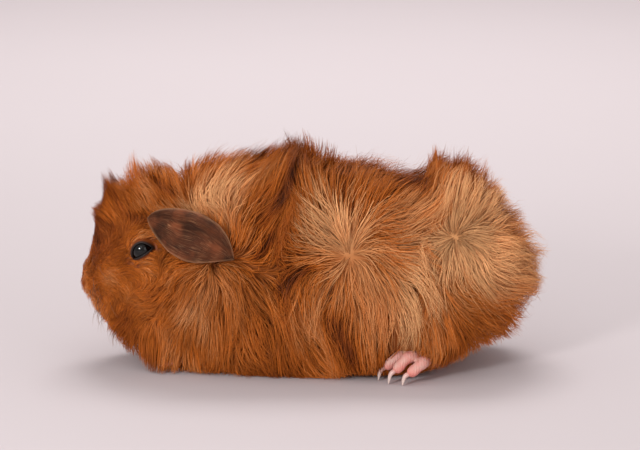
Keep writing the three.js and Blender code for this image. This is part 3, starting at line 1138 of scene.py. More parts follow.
@dataclass(frozen=True)
class HideFinish:
    """The skin under the coat: a darker brown of painted shade where hair is deep, paler where it is thin,
    and painted shade in the nostrils and the mouth's line.
    """

    colours: CoatColours

    def material(self) -> Material:
        """Builds the material.

        Returns:
            The material.
        """
        tree = ShaderTree("hide")
        marked = self.colours.ramp(tree)
        # Painted shade: the hide darkens towards the root colour under deep hair, less where the coat is
        # pale.
        depth = (0.3 + 0.35 * tree.attribute("deep")) * (1.3 - tree.attribute("marking")).clamped()
        shaded = tree.blend(depth, marked, self.colours.root)
        mottled = tree.blend(tree.noise(350, 4) * 0.4, shaded, self.colours.root)
        thin = tree.blend(tree.noise(700, 3), self.colours.skin, self.colours.middle)
        soft = tree.blend(tree.attribute("bare"), mottled, thin)
        # Painted shade inside the nostrils and along the mouth's line.
        colour = tree.blend(tree.attribute("pit"), soft, self.colours.pit)
        bump = tree.bump(tree.noise(1500, 3), 0.5, 0.3)
        return tree.finish(base_color=colour, roughness=0.6, specular_ior_level=0.15, normal=bump)


@dataclass(frozen=True)
class EarFinish:
    """Thin dark skin with fine flat hairs that sweep round the shell of the ear, and painted shade in the
    fold along its upper edge.
    """

    dark: tuple = srgb(50, 27, 16)
    middle: tuple = srgb(100, 54, 32)
    red: tuple = srgb(146, 78, 46)
    light: tuple = srgb(186, 134, 96)
    hair_rows: float = 44.0
    hair_runs: float = 7.0

    def material(self) -> Material:
        """Builds the material.

        Returns:
            The material.
        """
        tree = ShaderTree("ear_skin")
        bend = 0.5 * tree.noise(60, 2)
        sweep = (tree.attribute("sweep") + bend, tree.attribute("share") + bend)
        hairs = tree.streaks(self.hair_rows, self.hair_runs, sweep)
        broad = tree.streaks(0.3 * self.hair_rows, 0.5 * self.hair_runs, sweep)
        patches = tree.noise(90, 3)
        skin = tree.blend((patches * 3.4 - 1.3).clamped(), self.dark, self.middle)
        flushed = tree.blend((tree.noise(120, 2) * 3.2 - 1.5).clamped() * 0.7, skin, self.red)
        shaded = tree.blend((broad * 3.0 - 1.4).clamped() * 0.55, flushed, self.dark)
        tufted = (hairs * 3.6 - 1.9).clamped() * (tree.noise(140, 2) * 2.4 - 0.75).clamped()
        streaked = tree.blend(tufted * 0.7, shaded, self.light)
        # Painted shade in the groove of the fold along the upper edge.
        painted_fold_shade = tree.blend(tree.attribute("crease").clamped() * 0.85, streaked, self.dark)
        edged = tree.blend(tree.attribute("rim").clamped() * (hairs - 0.15).clamped(), painted_fold_shade, self.light)
        bump = tree.bump(hairs + 0.7 * broad, 0.8, 0.4)
        return tree.finish(base_color=edged, roughness=0.6, specular_ior_level=0.1, normal=bump)


@dataclass(frozen=True)
class FootFinish:
    """Bare pink toes, greyer on top from fine pale hairs and a painted sheen, with fine creases across."""

    pink: tuple = srgb(240, 160, 146)
    grey: tuple = srgb(218, 170, 156)
    flush: tuple = srgb(224, 106, 98)

    def material(self) -> Material:
        """Builds the material.

        Returns:
            The material.
        """
        tree = ShaderTree("foot_skin")
        height = tree.wire("ShaderNodeSeparateXYZ", {}, {0: tree.place()}, output=2)
        # Greyer above 6.5 mm: partly fine pale hairs, partly painted sheen on the toes' tops.
        upper = ((height * 1000 - 6.5) * 0.35).clamped()
        base = tree.blend(upper, self.pink, self.grey)
        flushed = tree.blend((tree.noise(260, 3) * 1.8 - 0.6).clamped(), base, self.flush)
        speckled = tree.blend((tree.noise(2200, 3) * 1.2 - 0.3).clamped() * 0.4, flushed, self.grey)
        creases = tree.wire(
            "ShaderNodeTexWave",
            {"bands_direction": "X"},
            {"Vector": tree.place(), "Scale": 260.0, "Distortion": 6.0, "Detail": 3.0},
            output=1,
        )
        bump = tree.bump(creases + tree.noise(2600, 3), 0.55, 0.25)
        return tree.finish(base_color=speckled, roughness=0.5, specular_ior_level=0.45, normal=bump)


@dataclass(frozen=True)
class LidFinish:
    """The bare dark edges of the lids, which pass into the skin around them."""

    colours: CoatColours
    black: tuple = srgb(24, 17, 15)
    grey: tuple = srgb(50, 38, 34)

    def material(self) -> Material:
        """Builds the material.

        Returns:
            The material.
        """
        tree = ShaderTree("lid_skin")
        edge = tree.blend(tree.noise(900, 3), self.black, self.grey)
        around = tree.blend(tree.noise(500, 3), self.colours.dark, self.colours.root)
        colour = tree.blend(tree.attribute("margin").clamped(), around, edge)
        bump = tree.bump(tree.noise(3000, 3), 0.5, 0.15)
        return tree.finish(base_color=colour, roughness=0.5, specular_ior_level=0.28, normal=bump)


@dataclass(frozen=True)
class EyeFinish:
    """A wet, near-black eye with a dark brown iris round its pupil."""

    iris: tuple = srgb(12, 7, 5)
    black: tuple = srgb(3, 2, 2)

    def material(self) -> Material:
        """Builds the material.

        Returns:
            The material.
        """
        tree = ShaderTree("eye_wet")
        colour = tree.blend(tree.attribute("gaze").clamped(), self.black, self.iris)
        mottled = tree.blend(tree.noise(1400, 3) * 0.4, colour, self.black)
        return tree.finish(base_color=mottled, roughness=0.04, specular_ior_level=0.4)


@dataclass(frozen=True)
class ClawFinish:
    """Half-clear pale horn, pink where the quick shows."""

    horn: tuple = srgb(236, 214, 204)
    pink: tuple = srgb(218, 150, 142)
    streak: tuple = srgb(200, 168, 156)

    def material(self) -> Material:
        """Builds the material.

        Returns:
            The material.
        """
        tree = ShaderTree("claw_horn")
        colour = tree.blend(tree.attribute("quick").clamped(), self.horn, self.pink)
        streaked = tree.blend(tree.noise(1800, 3) * 0.35, colour, self.streak)
        bump = tree.bump(tree.noise(2400, 2), 0.3, 0.1)
        gloss = {"roughness": 0.28, "specular_ior_level": 0.5, "coat_weight": 0.3}
        return tree.finish(base_color=streaked, normal=bump, **gloss)


@dataclass(frozen=True)
class WhiskerFinish:
    """Stiff brown hairs, paler at their tips."""

    brown: tuple = srgb(92, 52, 32)
    pale: tuple = srgb(160, 116, 88)

    def material(self) -> Material:
        """Builds the material.

        Returns:
            The material.
        """
        tree = ShaderTree("whisker_hair")
        colour = tree.blend(tree.attribute("along"), self.brown, self.pale)
        return tree.finish(base_color=colour, roughness=0.35)


@dataclass(frozen=True)
class FloorFinish:
    """A plain pale studio floor."""

    pale: tuple = srgb(203, 193, 195)
    dark: tuple = srgb(197, 186, 188)

    def material(self) -> Material:
        """Builds the material.

        Returns:
            The material.
        """
        tree = ShaderTree("studio_floor")
        colour = tree.blend(tree.noise(3, 2) * 0.3, self.pale, self.dark)
        return tree.finish(base_color=colour, roughness=0.75, specular_ior_level=0.2)


# ---- Ears, feet, claws and eyes ----


@dataclass(frozen=True)
class Ear:
    """A leaf-shaped ear that hangs back and down from the crown, given for the right side."""

    root: Triple = (-77.5, 27.5, 75.5)
    tip: Triple = (-36.3, 42.0, 58.4)
    stalk_from: Triple = (-64.0, 14.0, 70.0)
    stalk_share: float = 0.34
    stalk_radii: tuple[float, float] = (5.5, 4.0)
    upper_edge: tuple[tuple[float, float], ...] = (
        (0, 0), (0.03, 3.4), (0.1, 6.6), (0.22, 9.6), (0.38, 11.9), (0.52, 12.8), (0.66, 12.2),
        (0.78, 10.2), (0.88, 7), (0.96, 3), (1, 0),
    )
    lower_edge: tuple[tuple[float, float], ...] = (
        (0, 0), (0.04, 2.2), (0.12, 4.8), (0.25, 8), (0.4, 10.2), (0.52, 10.6), (0.64, 9.4),
        (0.78, 6.2), (0.9, 2.8), (1, 0),
    )
    thickness: float = 0.9
    cup: float = 2.6
    fold: float = 2.3
    rim_curl: float = 0.9
    steps: int = 44
    rows: int = 20

    def frame(self, side: Side) -> tuple[Array, Array, Array, Array, float]:
        """The ear's root, its axes along, up and out, and its length.

        Args:
            side: Which side.

        Returns:
            The root, the three directions and the length.
        """
        root = side.of(self.root)
        reach = side.of(self.tip) - root
        length = float(np.linalg.norm(reach))
        along = reach / length
        out = np.array([0.0, side.value, 0.25])
        out = unit(out - out.dot(along) * along)
        up = unit(np.cross(out, along) * -side.value)
        return root, along, up, out, length

    def half_width(self, share: Array, upper: Array) -> Array:
        """Half the leaf's width on its upper or its lower side.

        Args:
            share: Places along it, from 0 to 1.
            upper: Whether each is on the upper side.

        Returns:
            The half widths in millimetres.
        """
        place = np.linspace(0, 1, 120)
        widths = []
        for edge in (self.upper_edge, self.lower_edge):
            curve = smooth_curve(np.array(edge), place)
            widths.append(np.interp(np.clip(share, 0, 1), np.maximum.accumulate(curve[:, 0]), curve[:, 1]))
        return np.maximum(np.where(upper, *widths), 0.02)

    def bulge(self, share: Array, across: Array) -> Array:
        """How far the leaf stands out from its flat plane, from -1 at its lower edge to 1.

        Args:
            share: Places along it, from 0 to 1.
            across: Places across it, from -1 at the lower edge to 1.

        Returns:
            The heights in millimetres.
        """
        body = np.sin(np.pi * share)
        crease = self.crease_at(share)
        shell = self.cup * body * (1 - across**2)
        fold = self.fold * body**0.7 * smoothstep(crease - 0.02, crease + 0.22, across)
        groove = -1.5 * body * bell(across - crease, 0.09)
        curl = self.rim_curl * body * smoothstep(-0.7, -1.0, across)
        ripple = 0.4 * body * np.sin(9 * share + 4 * across)
        return shell + fold + groove + curl + ripple

    @staticmethod
    def crease_at(share: Array) -> Array:
        """Where the fold along the upper edge starts, across the leaf."""
        return 0.42 + 0.4 * np.abs(share - 0.45)

    def leaf(self, side: Side) -> Form:
        """The leaf, as a thin closed shell.

        Args:
            side: Which side.

        Returns:
            The points and the faces.
        """
        root, along, up, out, length = self.frame(side)
        around = np.pi * np.arange(2 * self.rows) / self.rows
        across = -np.cos(around)
        rings = []
        for share in np.linspace(0, 1, self.steps + 1)[1:-1]:
            half = self.half_width(np.full_like(across, share), across > 0)
            depth = self.bulge(np.full_like(across, share), across)
            wall = 0.5 * self.thickness * np.sin(around)
            ring = root + share * length * along
            rings.append(ring + np.outer(across * half, up) + np.outer(depth + wall, out))
        points = np.vstack([root, *rings, root + length * along])
        return facing_out(points, ring_faces(len(rings), 2 * self.rows))

    def stalk(self, side: Side) -> Form:
        """The hidden root that joins the leaf to the head.

        Args:
            side: Which side.

        Returns:
            The points and the faces.
        """
        root, along, _, _, length = self.frame(side)
        inner = root + self.stalk_share * length * along
        path = np.linspace(side.of(self.stalk_from), inner, 6)
        return tube(path, np.linspace(*self.stalk_radii, 6), 16, 0.6)

    def tuck(self, points: Array, side: Side) -> Array:
        """Presses hair that would cross the ear down behind it.

        Args:
            points: Places, as rows.
            side: Which side.

        Returns:
            The moved points.
        """
        root, along, up, out, length = self.frame(side)
        local = points - root
        share = local @ along / length
        across_mm = local @ up
        half = self.half_width(share, across_mm > 0)
        height = local @ out
        covered = (share > -0.02) & (share < 1.0) & (np.abs(across_mm) < half + 0.6)
        across = np.clip(across_mm / np.maximum(half, 1e-3), -1, 1)
        ceiling = self.bulge(np.clip(share, 0, 1), across) - self.thickness - 0.4
        excess = np.where(covered, np.maximum(height - ceiling, 0.0), 0.0)
        return points - np.outer(excess, out)


@dataclass(frozen=True)
class Toe:
    """A toe's knuckle and end."""

    knuckle: Triple
    end: Triple


@dataclass(frozen=True)
class Foot:
    """A foot with its toes and claws, given for the right side."""

    name: str
    heel: Triple
    instep: Triple
    widths: tuple[float, float]
    toes: tuple[Toe, ...]
    toe_radius: float
    claw_reach: tuple[float, float]
    claw_radius: float

    def flesh(self, side: Side) -> Form:
        """The sole and the toes, as overlapping tubes that are melted together later.

        Args:
            side: Which side.

        Returns:
            The points and the faces.
        """
        heel, instep = side.of(self.heel), side.of(self.instep)
        narrow, wide = self.widths
        sole_path = smooth_curve(np.array([heel, (heel + instep) / 2, instep]), np.linspace(0, 1, 8))
        sole_radii = np.interp(np.linspace(0, 1, 8), [0, 0.5, 1], [narrow, wide, 0.95 * wide]) * 0.94
        parts = [tube(sole_path, sole_radii, 18, 0.85)]
        for toe in self.toes:
            knuckle, end = side.of(toe.knuckle), side.of(toe.end)
            start = instep + (knuckle - instep) * 0.2
            path = smooth_curve(np.array([start, knuckle, end]), np.linspace(0, 1, 14))
            shape = np.interp(
                np.linspace(0, 1, 14), [0, 0.3, 0.5, 0.68, 0.86, 1.0], [1.25, 1.0, 1.12, 0.9, 1.02, 0.78]
            )
            parts.append(tube(path, self.toe_radius * shape, 14))
        return merge_parts(parts)

    def claw(self, toe: Toe, side: Side) -> tuple[Array, list[tuple[int, ...]], Array]:
        """One claw, from inside its toe's end down to the floor.

        Args:
            toe: The toe that it grows from.
            side: Which side.

        Returns:
            The points, the faces, and how far each point is from the tip, for the quick's colour.
        """
        knuckle, end = side.of(toe.knuckle), side.of(toe.end)
        forward = unit(end - knuckle)
        root = end - 0.3 * self.toe_radius * forward
        tip = np.array([end[0] + self.claw_reach[0], end[1] + side.value * self.claw_reach[1], 0.45])
        bend = (root + tip) / 2 + np.array([-0.8, 0.0, 1.3])
        steps = 14
        share = np.linspace(0, 1, steps)
        path = smooth_curve(np.array([root, bend, tip]), share)
        radii = self.claw_radius * np.interp(share, [0, 0.4, 0.75, 1], [1.0, 1.0, 0.66, 0.14])
        points, faces = tube(path, radii, 12, 0.85)
        quick = np.concatenate([[1.0], np.repeat(1.15 - 1.5 * share, 12), [0.0]])
        return points, faces, np.clip(quick, 0, 1)


HIND_FOOT = Foot(
    name="hind",
    heel=(61, 17, 5.2),
    instep=(54, 32.5, 8.5),
    widths=(4.5, 5.6),
    toes=(
        Toe((40.5, 38.6, 11), (34, 39.6, 6.6)),
        Toe((44.5, 44, 12.4), (38.6, 46, 6.6)),
        Toe((50.5, 46.5, 10), (45, 48.6, 5.6)),
    ),
    toe_radius=2.75,
    claw_reach=(-3.4, 0.8),
    claw_radius=1.35,
)
FORE_FOOT = Foot(
    name="fore",
    heel=(-51, 18, 5),
    instep=(-62, 18.5, 5.5),
    widths=(4.2, 4.6),
    toes=(
        Toe((-66.5, 13.3, 5), (-71, 11.5, 3.2)),
        Toe((-67.5, 16.7, 5.6), (-73.5, 16.1, 3.2)),
        Toe((-67.5, 20.3, 5.6), (-73.5, 21.1, 3.2)),
        Toe((-66.5, 23, 5), (-71, 24.8, 3.2)),
    ),
    toe_radius=1.8,
    claw_reach=(-3.2, 0.3),
    claw_radius=0.8,
)
FEET = (HIND_FOOT, FORE_FOOT)


@dataclass
class Skin:
    """The one skin that takes the place of the solids of flesh."""

    lattice: SkinLattice
    ear: Ear
    markings: Markings
    melt: float = 0.5
    deep_coat: tuple[float, float] = (-82, -50)

    def build(self, hide: Material, bare: dict[str, Material]) -> Piece:
        """Joins body, ears, feet and lids into one closed skin.

        Args:
            hide: The finish under the coat.
            bare: The finishes of the ears, feet and lids.

        Returns:
            The skin's object.
        """
        skin = mesh_object("skin", self.lattice.skin, self.lattice.faces)
        skin.data.materials.append(hide)
        extras = []
        for side in Side:
            for part in (self.ear.stalk, self.ear.leaf):
                ear = mesh_object(f"ear_part_{side.word}", *part(side))
                self._mark_rim(ear, side)
                extras.append((ear, bare["ear"]))
            extras.append((self._lids(side), bare["lid"]))
            for foot in FEET:
                flesh = mesh_object(f"foot_part_{foot.name}_{side.word}", *foot.flesh(side))
                self._melt_together(flesh)
                extras.append((flesh, bare["foot"]))
        for extra, material in extras:
            extra.data.materials.clear()
            extra.data.materials.append(material)
            join = skin.modifiers.new("join", "BOOLEAN")
            join.operation = "UNION"
            join.solver = "MANIFOLD"
            join.material_mode = "TRANSFER"
            join.object = extra
        baked(skin)
        for extra, _ in extras:
            bpy.data.objects.remove(extra)
        points = vertices_of(skin)
        store(
            skin,
            # The painted shade of the partings joins the markings.
            marking=np.clip(self.markings.at(points) + self.markings.parted(points), 0, 1),
            bare=self.lattice.thinness(points),
            # Where the hide takes painted shade in the nostrils and the mouth's line.
            pit=self.lattice.pits(points),
            # Where the hide takes painted shade under deep hair.
            deep=smoothstep(*self.deep_coat, points[:, 0]),
        )
        return skin

    def _melt_together(self, flesh: Piece) -> None:
        """Turns overlapping tubes into one smooth closed form.

        Args:
            flesh: The foot's overlapping tubes.
        """
        remesh = flesh.modifiers.new("melt", "REMESH")
        remesh.mode = "VOXEL"
        remesh.voxel_size = self.melt * MM
        smooth = flesh.modifiers.new("soften", "SMOOTH")
        smooth.factor = 0.5
        smooth.iterations = 6
        baked(flesh)
        for polygon in flesh.data.polygons:
            polygon.use_smooth = True

    def _mark_rim(self, ear: Piece, side: Side) -> None:
        """Stores where each point of an ear lies between its edges and along it.

        Args:
            ear: A part of the ear.
            side: Which side.
        """
        root, along, up, _, length = self.ear.frame(side)
        local = vertices_of(ear) - root
        share = local @ along / length
        across = local @ up
        half = self.ear.half_width(share, across > 0)
        near = smoothstep(1.2, 0.2, half - np.abs(across))
        # The fold's groove, which the ear's finish darkens with painted shade.
        line = bell(across / half - self.ear.crease_at(share), 0.07) * np.sin(np.pi * np.clip(share, 0, 1))
        sweep = np.clip(across / np.maximum(half, 1.0), -1, 1)
        store(ear, rim=near, crease=line, sweep=sweep, share=share)

    def _lids(self, side: Side) -> Piece:
        """The lids, as a closed ring that lines the opening and runs out into the skin.

        Args:
            side: Which eye.

        Returns:
            The ring, with how near each point is to the lids' edge in its `margin`.
        """
        eye = self.lattice.head.eye
        centre, along, up, out = eye.axes(side)
        count = 112
        edge = eye.outline(count)
        way = np.roll(edge, -1, axis=0) - np.roll(edge, 1, axis=0)
        away = unit(np.stack([way[:, 1], -way[:, 0]], axis=1))
        plain = BVHTree.FromPolygons(self.lattice.plain.tolist(), self.lattice.faces)
        offsets = (-0.25, -0.1, 0.12, 0.4, 0.75, 1.15, 1.7, 2.5, 3.4, 4.4, 5.0)
        layers = []
        for offset in offsets:
            flat = edge + away * offset
            spots = centre + flat @ np.stack([along, up])
            hits = [plain.ray_cast(Vector(spot + 30 * out), Vector(-out))[0] for spot in spots]
            natural = (np.array([tuple(hit) for hit in hits]) - centre) @ out
            level = eye.cover(flat, natural, np.full(count, max(offset, 0.0)))
            bead = 0.25 * bell(offset - 0.4, 0.4) - 0.3 * bell(offset - 1.7, 0.5)
            tuck = {-0.25: -0.6, -0.1: -0.2}.get(offset, 0.0)
            layers.append(spots + np.outer(level + bead + tuck, out))
        ball = np.sqrt(np.maximum((eye.radius - 0.4) ** 2 - np.sum(edge**2, axis=1), 1.0))
        layers.append(layers[-1] - 1.6 * out)
        for inward, sunk in ((1.0, 1.4), (-0.2, 0.5)):
            flat = edge + away * inward
            layers.append(centre + flat @ np.stack([along, up]) + np.outer(ball - sunk, out))
        loops = len(layers)
        here = np.arange(loops * count).reshape(loops, count)
        after, inner = np.roll(here, -1, axis=1), np.roll(here, -1, axis=0)
        opposite = np.roll(inner, -1, axis=1)
        squares = np.stack([here, after, opposite, inner], axis=2).reshape(-1, 4)
        faces = [tuple(square) for square in squares.tolist()]
        lids = mesh_object(f"lid_part_{side.word}", *facing_out(np.vstack(layers), faces))
        near = np.zeros(loops)
        near[: len(offsets)] = smoothstep(1.3, 0.5, np.array(offsets))
        store(lids, margin=np.repeat(near, count))
        return lids


# ---- The coat ----


@dataclass(frozen=True)
class CoatCharts:
    """Length, breadth and closeness of the hair over the body."""

    length: Chart = Chart(
        (0, 60, 100, 140),
        (
            (-110, 2.2, 2.2, 2.2, 2.6), (-103, 6.5, 3.2, 3.2, 6.5), (-94, 12, 5, 4.4, 11),
            (-80, 19, 8, 6, 15), (-64, 22, 13, 9.5, 18), (-48, 24, 19, 22, 21), (-20, 27, 28, 29, 23),
            (20, 27, 31, 31, 23), (56, 27, 29, 29, 20), (68, 26, 28, 26, 13), (90, 25, 26, 24, 13),
            (110, 20, 20, 20, 20),
        ),
    )
    loft: Chart = Chart(
        (0, 60, 100, 140),
        (
            (-110, 1.2, 1.2, 1.2, 1.2), (-100, 1.2, 1.05, 1.05, 1.5), (-88, 1.2, 1, 1, 1.8),
            (-72, 1.25, 1.5, 1.05, 1.35), (-62, 1.2, 2, 1.25, 1.3), (-46, 1.15, 1.6, 1.2, 1.2),
            (-32, 1.15, 1.05, 1, 1.1), (-18, 1.15, 1, 1, 1.1), (10, 1, 1, 1, 1.05), (48, 1, 1, 1, 1.05),
            (62, 1.15, 1, 1, 1), (85, 1.25, 1.1, 1.1, 1.1), (100, 1.35, 1.3, 1.3, 1.3),
        ),
    )
    locks: Chart = Chart(
        (0, 40, 100, 140),
        (
            (-110, 0.2, 0.2, 0.2, 0.3), (-98, 0.45, 0.3, 0.2, 0.35), (-78, 0.65, 0.35, 0.25, 0.4),
            (-50, 0.55, 0.4, 0.3, 0.4), (0, 0.55, 0.4, 0.3, 0.4), (60, 0.5, 0.28, 0.18, 0.35),
            (110, 0.45, 0.45, 0.4, 0.4),
        ),
    )
    closeness: Chart = Chart(
        (0, 100, 125, 150, 165),
        (
            (-110, 3.8, 3.8, 3.8, 3, 2.4), (-95, 3.2, 3.3, 3, 2.4, 1), (-75, 1.7, 2.4, 2.1, 1.7, 0.6),
            (-50, 1.3, 1.2, 1.15, 0.7, 0.1), (0, 1.1, 1.1, 1.05, 0.6, 0.05),
            (60, 1.1, 1.1, 1.05, 0.6, 0.05), (85, 1.2, 1.15, 1.15, 0.8, 0.25),
            (110, 1.4, 1.4, 1.4, 1.3, 1.3),
        ),
    )


@dataclass(frozen=True)
class Tuft:
    """A lock that stands out of the coat on both sides: its root, its tip and its breadth."""

    root: Triple
    tip: Triple
    reach: float
    strength: float = 0.75

    def draw(self, points: Array, along: Array, side: Side, vary: Array) -> Array:
        """Draws the strands that start near the root towards the tip.

        Args:
            points: Strand points, as strand by step by axis.
            along: How far along the strand each step is.
            side: The side that the strands are on.
            vary: The share of the tuft's height that each strand reaches.

        Returns:
            The moved points.
        """
        root, tip = side.of(self.root), side.of(self.tip)
        flat = points[:, 0] - root
        near = bell(np.linalg.norm(flat, axis=1), self.reach) * self.strength
        spread = flat[:, None, :] * (0.8 - 0.42 * along)[None, :, None]
        line = root + vary[:, None, None] * (tip - root) * along[None, :, None] ** 0.9
        share = near[:, None, None] * (along**0.8)[None, :, None]
        return points + (line + spread - points) * share


TUFTS = rows(
    Tuft, ((-82, 5, 83), (-86, 6, 104), 4, 0.92), ((-80, 14, 82), (-84, 17, 97), 4, 0.85),
    ((-76, 4, 86), (-81, 5, 110), 4, 0.92), ((-73, 13, 85), (-76, 16, 101), 4, 0.85),
    ((-69, 3, 88), (-73, 4, 111), 4, 0.92), ((-66, 11, 87), (-69, 14, 102), 4.5, 0.8),
    ((-93, 3, 79), (-101, 3.5, 94), 4.4, 0.92), ((-92, 9, 78), (-98.5, 10, 94.5), 4.4, 0.9),
    ((-94, 13, 74), (-99.5, 15, 84), 4, 0.8), ((-98.5, 2.5, 69), (-113, 3, 78.5), 3.4, 0.95),
    ((-98, 7, 68), (-113, 8.5, 74), 3.6, 0.9), ((-96, 12, 68), (-104, 14, 75), 3.6, 0.8),
    ((-97, 7, 30), (-103, 8, 23), 4.5, 0.6), ((-92, 12, 22), (-99, 14, 14), 5, 0.6),
    ((-84, 16, 15), (-91, 18, 8), 5.5, 0.6), ((-82, 21, 16), (-83, 25, 8), 4.5, 0.85),
    ((-79, 22.5, 15), (-76.5, 30, -3), 5, 0.95), ((-75, 24, 15), (-75.5, 30, -3), 4.5, 0.95),
    ((-70, 26.5, 14), (-73, 31, -3), 4.5, 0.9), ((-64, 28.5, 13), (-66, 33, -3), 4.5, 0.9),
    ((-44, 6, 91), (-37, 7, 107), 6, 0.7), ((-30, 12, 91), (-23, 13, 107), 6, 0.7),
    ((-26, 3, 92), (-21, 4, 108), 5, 0.7), ((-14, 3, 90), (-15, 4, 113), 5, 1),
    ((-9, 11, 88), (-9, 12, 110), 5, 0.9), ((-5, 3, 90), (-6, 4, 113), 5, 1),
    ((1, 6, 89), (3, 7, 109), 5, 0.9), ((5, 10, 88), (9, 12, 105), 5, 0.8),
    ((13, 3, 88), (19, 4, 103), 5, 0.6), ((55, 4, 82), (52, 4, 100), 5, 0.9),
    ((58, 12, 82), (56, 13, 105), 5, 0.9), ((64, 4, 84), (62, 4, 109), 5, 0.9),
    ((70, 12, 82), (71, 13, 108), 5.5, 0.85), ((77, 4, 80), (82, 5, 102), 5.5, 0.85),
    ((83, 12, 76), (91, 14, 93), 5.5, 0.8), ((89, 3, 68), (100, 3, 82), 5.5, 0.8),
    ((90, 14, 62), (105, 17, 70), 5.5), ((93, 4, 52), (115, 4, 57), 6, 0.85),
    ((92, 17, 46), (113, 20, 45), 6, 0.85), ((91, 6, 36), (113, 7, 34), 6, 0.85),
    ((88, 22, 28), (101, 27, 18), 6.5), ((62, 38, 22), (60, 42, 8.5), 5.5, 0.8),
    ((70, 33, 22), (71, 37, 10), 6, 0.8), ((78, 28, 24), (82, 32, 14), 6, 0.7),
    ((4, 47, 26), (13, 49, 2), 5, 0.7), ((-76, 20, 12), (-77.5, 28, -3), 4.5, 0.95),
    ((-70, 23, 12), (-71.5, 31.5, -3), 4.5, 0.95),
)


@dataclass(frozen=True)
class CoatBand:
    """A stretch of the body whose hair makes one piece on each side."""

    name: str
    start: float
    end: float
    steps: int
    breadth: float


BANDS = rows(
    CoatBand, ("muzzle", -120, -97, 2, 0.27), ("face", -97, -82, 3, 0.27), ("crown", -82, -62, 4, 0.34),
    ("nape", -62, -38, 4, 0.38), ("neck", -38, -16, 4, 0.43), ("withers", -16, 6, 4, 0.44),
    ("flank", 6, 32, 4, 0.44), ("loin", 32, 56, 4, 0.44), ("hip", 56, 78, 4, 0.43),
    ("rump", 78, 120, 4, 0.44),
)


@dataclass(frozen=True)
class Whiskers:
    """Stiff hairs that stand out of the muzzle, the brow and the chin on both sides."""

    seed: int = 4
    rows: tuple[tuple[Triple, Triple, int, float], ...] = (
        ((-104.0, 13.0, 40.0), (-0.25, 1.0, -0.2), 7, 17.0),
        ((-101.0, 15.0, 34.0), (-0.3, 0.8, -0.6), 7, 14.0),
        ((-102.5, 14.5, 49.0), (-0.2, 1.0, 0.1), 4, 14.0),
        ((-100.5, 6.0, 26.0), (-0.7, 0.4, -0.9), 9, 8.5),
        ((-95.0, 10.0, 17.0), (-0.7, 0.4, -0.8), 12, 9.0),
    )
    thick: float = 0.1

    def build(self, lattice: SkinLattice, material: Material) -> Piece:
        """Makes all whiskers as one piece.

        Args:
            lattice: The skin that they grow from.
            material: Their finish.

        Returns:
            The whiskers' object.
        """
        random = np.random.default_rng(self.seed)
        steps = 9
        share = np.linspace(0, 1, steps)
        parts = []
        for side in Side:
            for spot, way, count, length in self.rows:
                for _ in range(count):
                    around = side.of(spot) + random.normal(0, (2.2, 0.6, 2.0))
                    root = lattice.coat[np.argmin(np.sum((lattice.coat - around) ** 2, axis=1))]
                    root = root - 1.6 * unit(lattice.normals[lattice.nearest(root)])
                    heading = unit(side.of(way) + random.normal(0, 0.22, 3))
                    reach = length * random.uniform(0.6, 1.1)
                    bend = np.array([0.35, 0.0, -0.25]) * reach
                    path = root + np.outer(share * reach, heading) + np.outer(share**2.2, bend)
                    path[:, 2] = np.maximum(path[:, 2], 0.4)
                    parts.append(tube(path, self.thick * (1.05 - 0.9 * share), 5))
        whiskers = mesh_object("whiskers", *merge_parts(parts))
        store(whiskers, along=np.tile(np.concatenate([[0.0], np.repeat(share, 5), [1.0]]), len(parts)))
        whiskers.data.materials.append(material)
        return whiskers


class CoatSweep:
    """The Geometry Nodes tree that gives every strand its body."""

    inputs = {
        "Paths": "NodeSocketGeometry",
        "Sides": "NodeSocketInt",
        "Flatness": "NodeSocketFloat",
        "Finish": "NodeSocketMaterial",
    }

    def __init__(self, material: Material) -> None:
        """Builds the tree: strand paths in, closed tapering strands out.

        Args:
            material: The finish.
        """
        self.group = bpy.data.node_groups.new("coat_sweep", "GeometryNodeTree")
        self.material = material
        face = self.group.interface
        self.sockets = {
            name: face.new_socket(name, in_out="INPUT", socket_type=kind).identifier
            for name, kind in self.inputs.items()
        }
        face.new_socket("Strands", in_out="OUTPUT", socket_type="NodeSocketGeometry")
        given = self.group.nodes.new("NodeGroupInput").outputs
        node, named = self._node, "GeometryNodeInputNamedAttribute"
        lay = node(named, {"data_type": "FLOAT_VECTOR"}, {"Name": "lay"})
        thick = node(named, {"data_type": "FLOAT"}, {"Name": "thick"})
        curve = node("GeometryNodeMeshToCurve", {}, {"Mesh": given["Paths"]})
        turned = node("GeometryNodeSetCurveNormal", {"mode": "FREE"}, {"Curve": curve, "Normal": lay})
        circle = node("GeometryNodeCurvePrimitiveCircle", {}, {"Resolution": given["Sides"], "Radius": 1.0})
        squash = node("ShaderNodeCombineXYZ", {}, {"X": given["Flatness"], "Y": 1.0, "Z": 1.0})
        profile = node("GeometryNodeTransform", {}, {"Geometry": circle, "Scale": squash})
        bodies = {"Curve": turned, "Profile Curve": profile, "Scale": thick, "Fill Caps": True}
        swept = node("GeometryNodeCurveToMesh", {}, bodies)
        facets = node("GeometryNodeSetShadeSmooth", {}, {"Geometry": swept, "Shade Smooth": False})
        real = node("GeometryNodeRealizeInstances", {}, {"Geometry": facets})
        dressed = node("GeometryNodeSetMaterial", {}, {"Geometry": real, "Material": given["Finish"]})
        add_node(self.group, "NodeGroupOutput", {}, {0: dressed})

    def _node(self, kind: str, settings: dict, inputs: dict) -> bpy.types.NodeSocket:
        """Adds a node and gives its first output."""
        return add_node(self.group, kind, settings, inputs).outputs[0]

    def sweep(self, paths: Piece, sides: int, flatness: float) -> None:
        """Gives the strand paths their bodies as plain mesh.

        Args:
            paths: The paths' object.
            sides: Points round a strand.
            flatness: Its depth as a share of its breadth.
        """
        modifier = paths.modifiers.new("sweep", "NODES")
        modifier.node_group = self.group
        modifier[self.sockets["Sides"]] = sides
        modifier[self.sockets["Flatness"]] = flatness
        modifier[self.sockets["Finish"]] = self.material
        baked(paths)


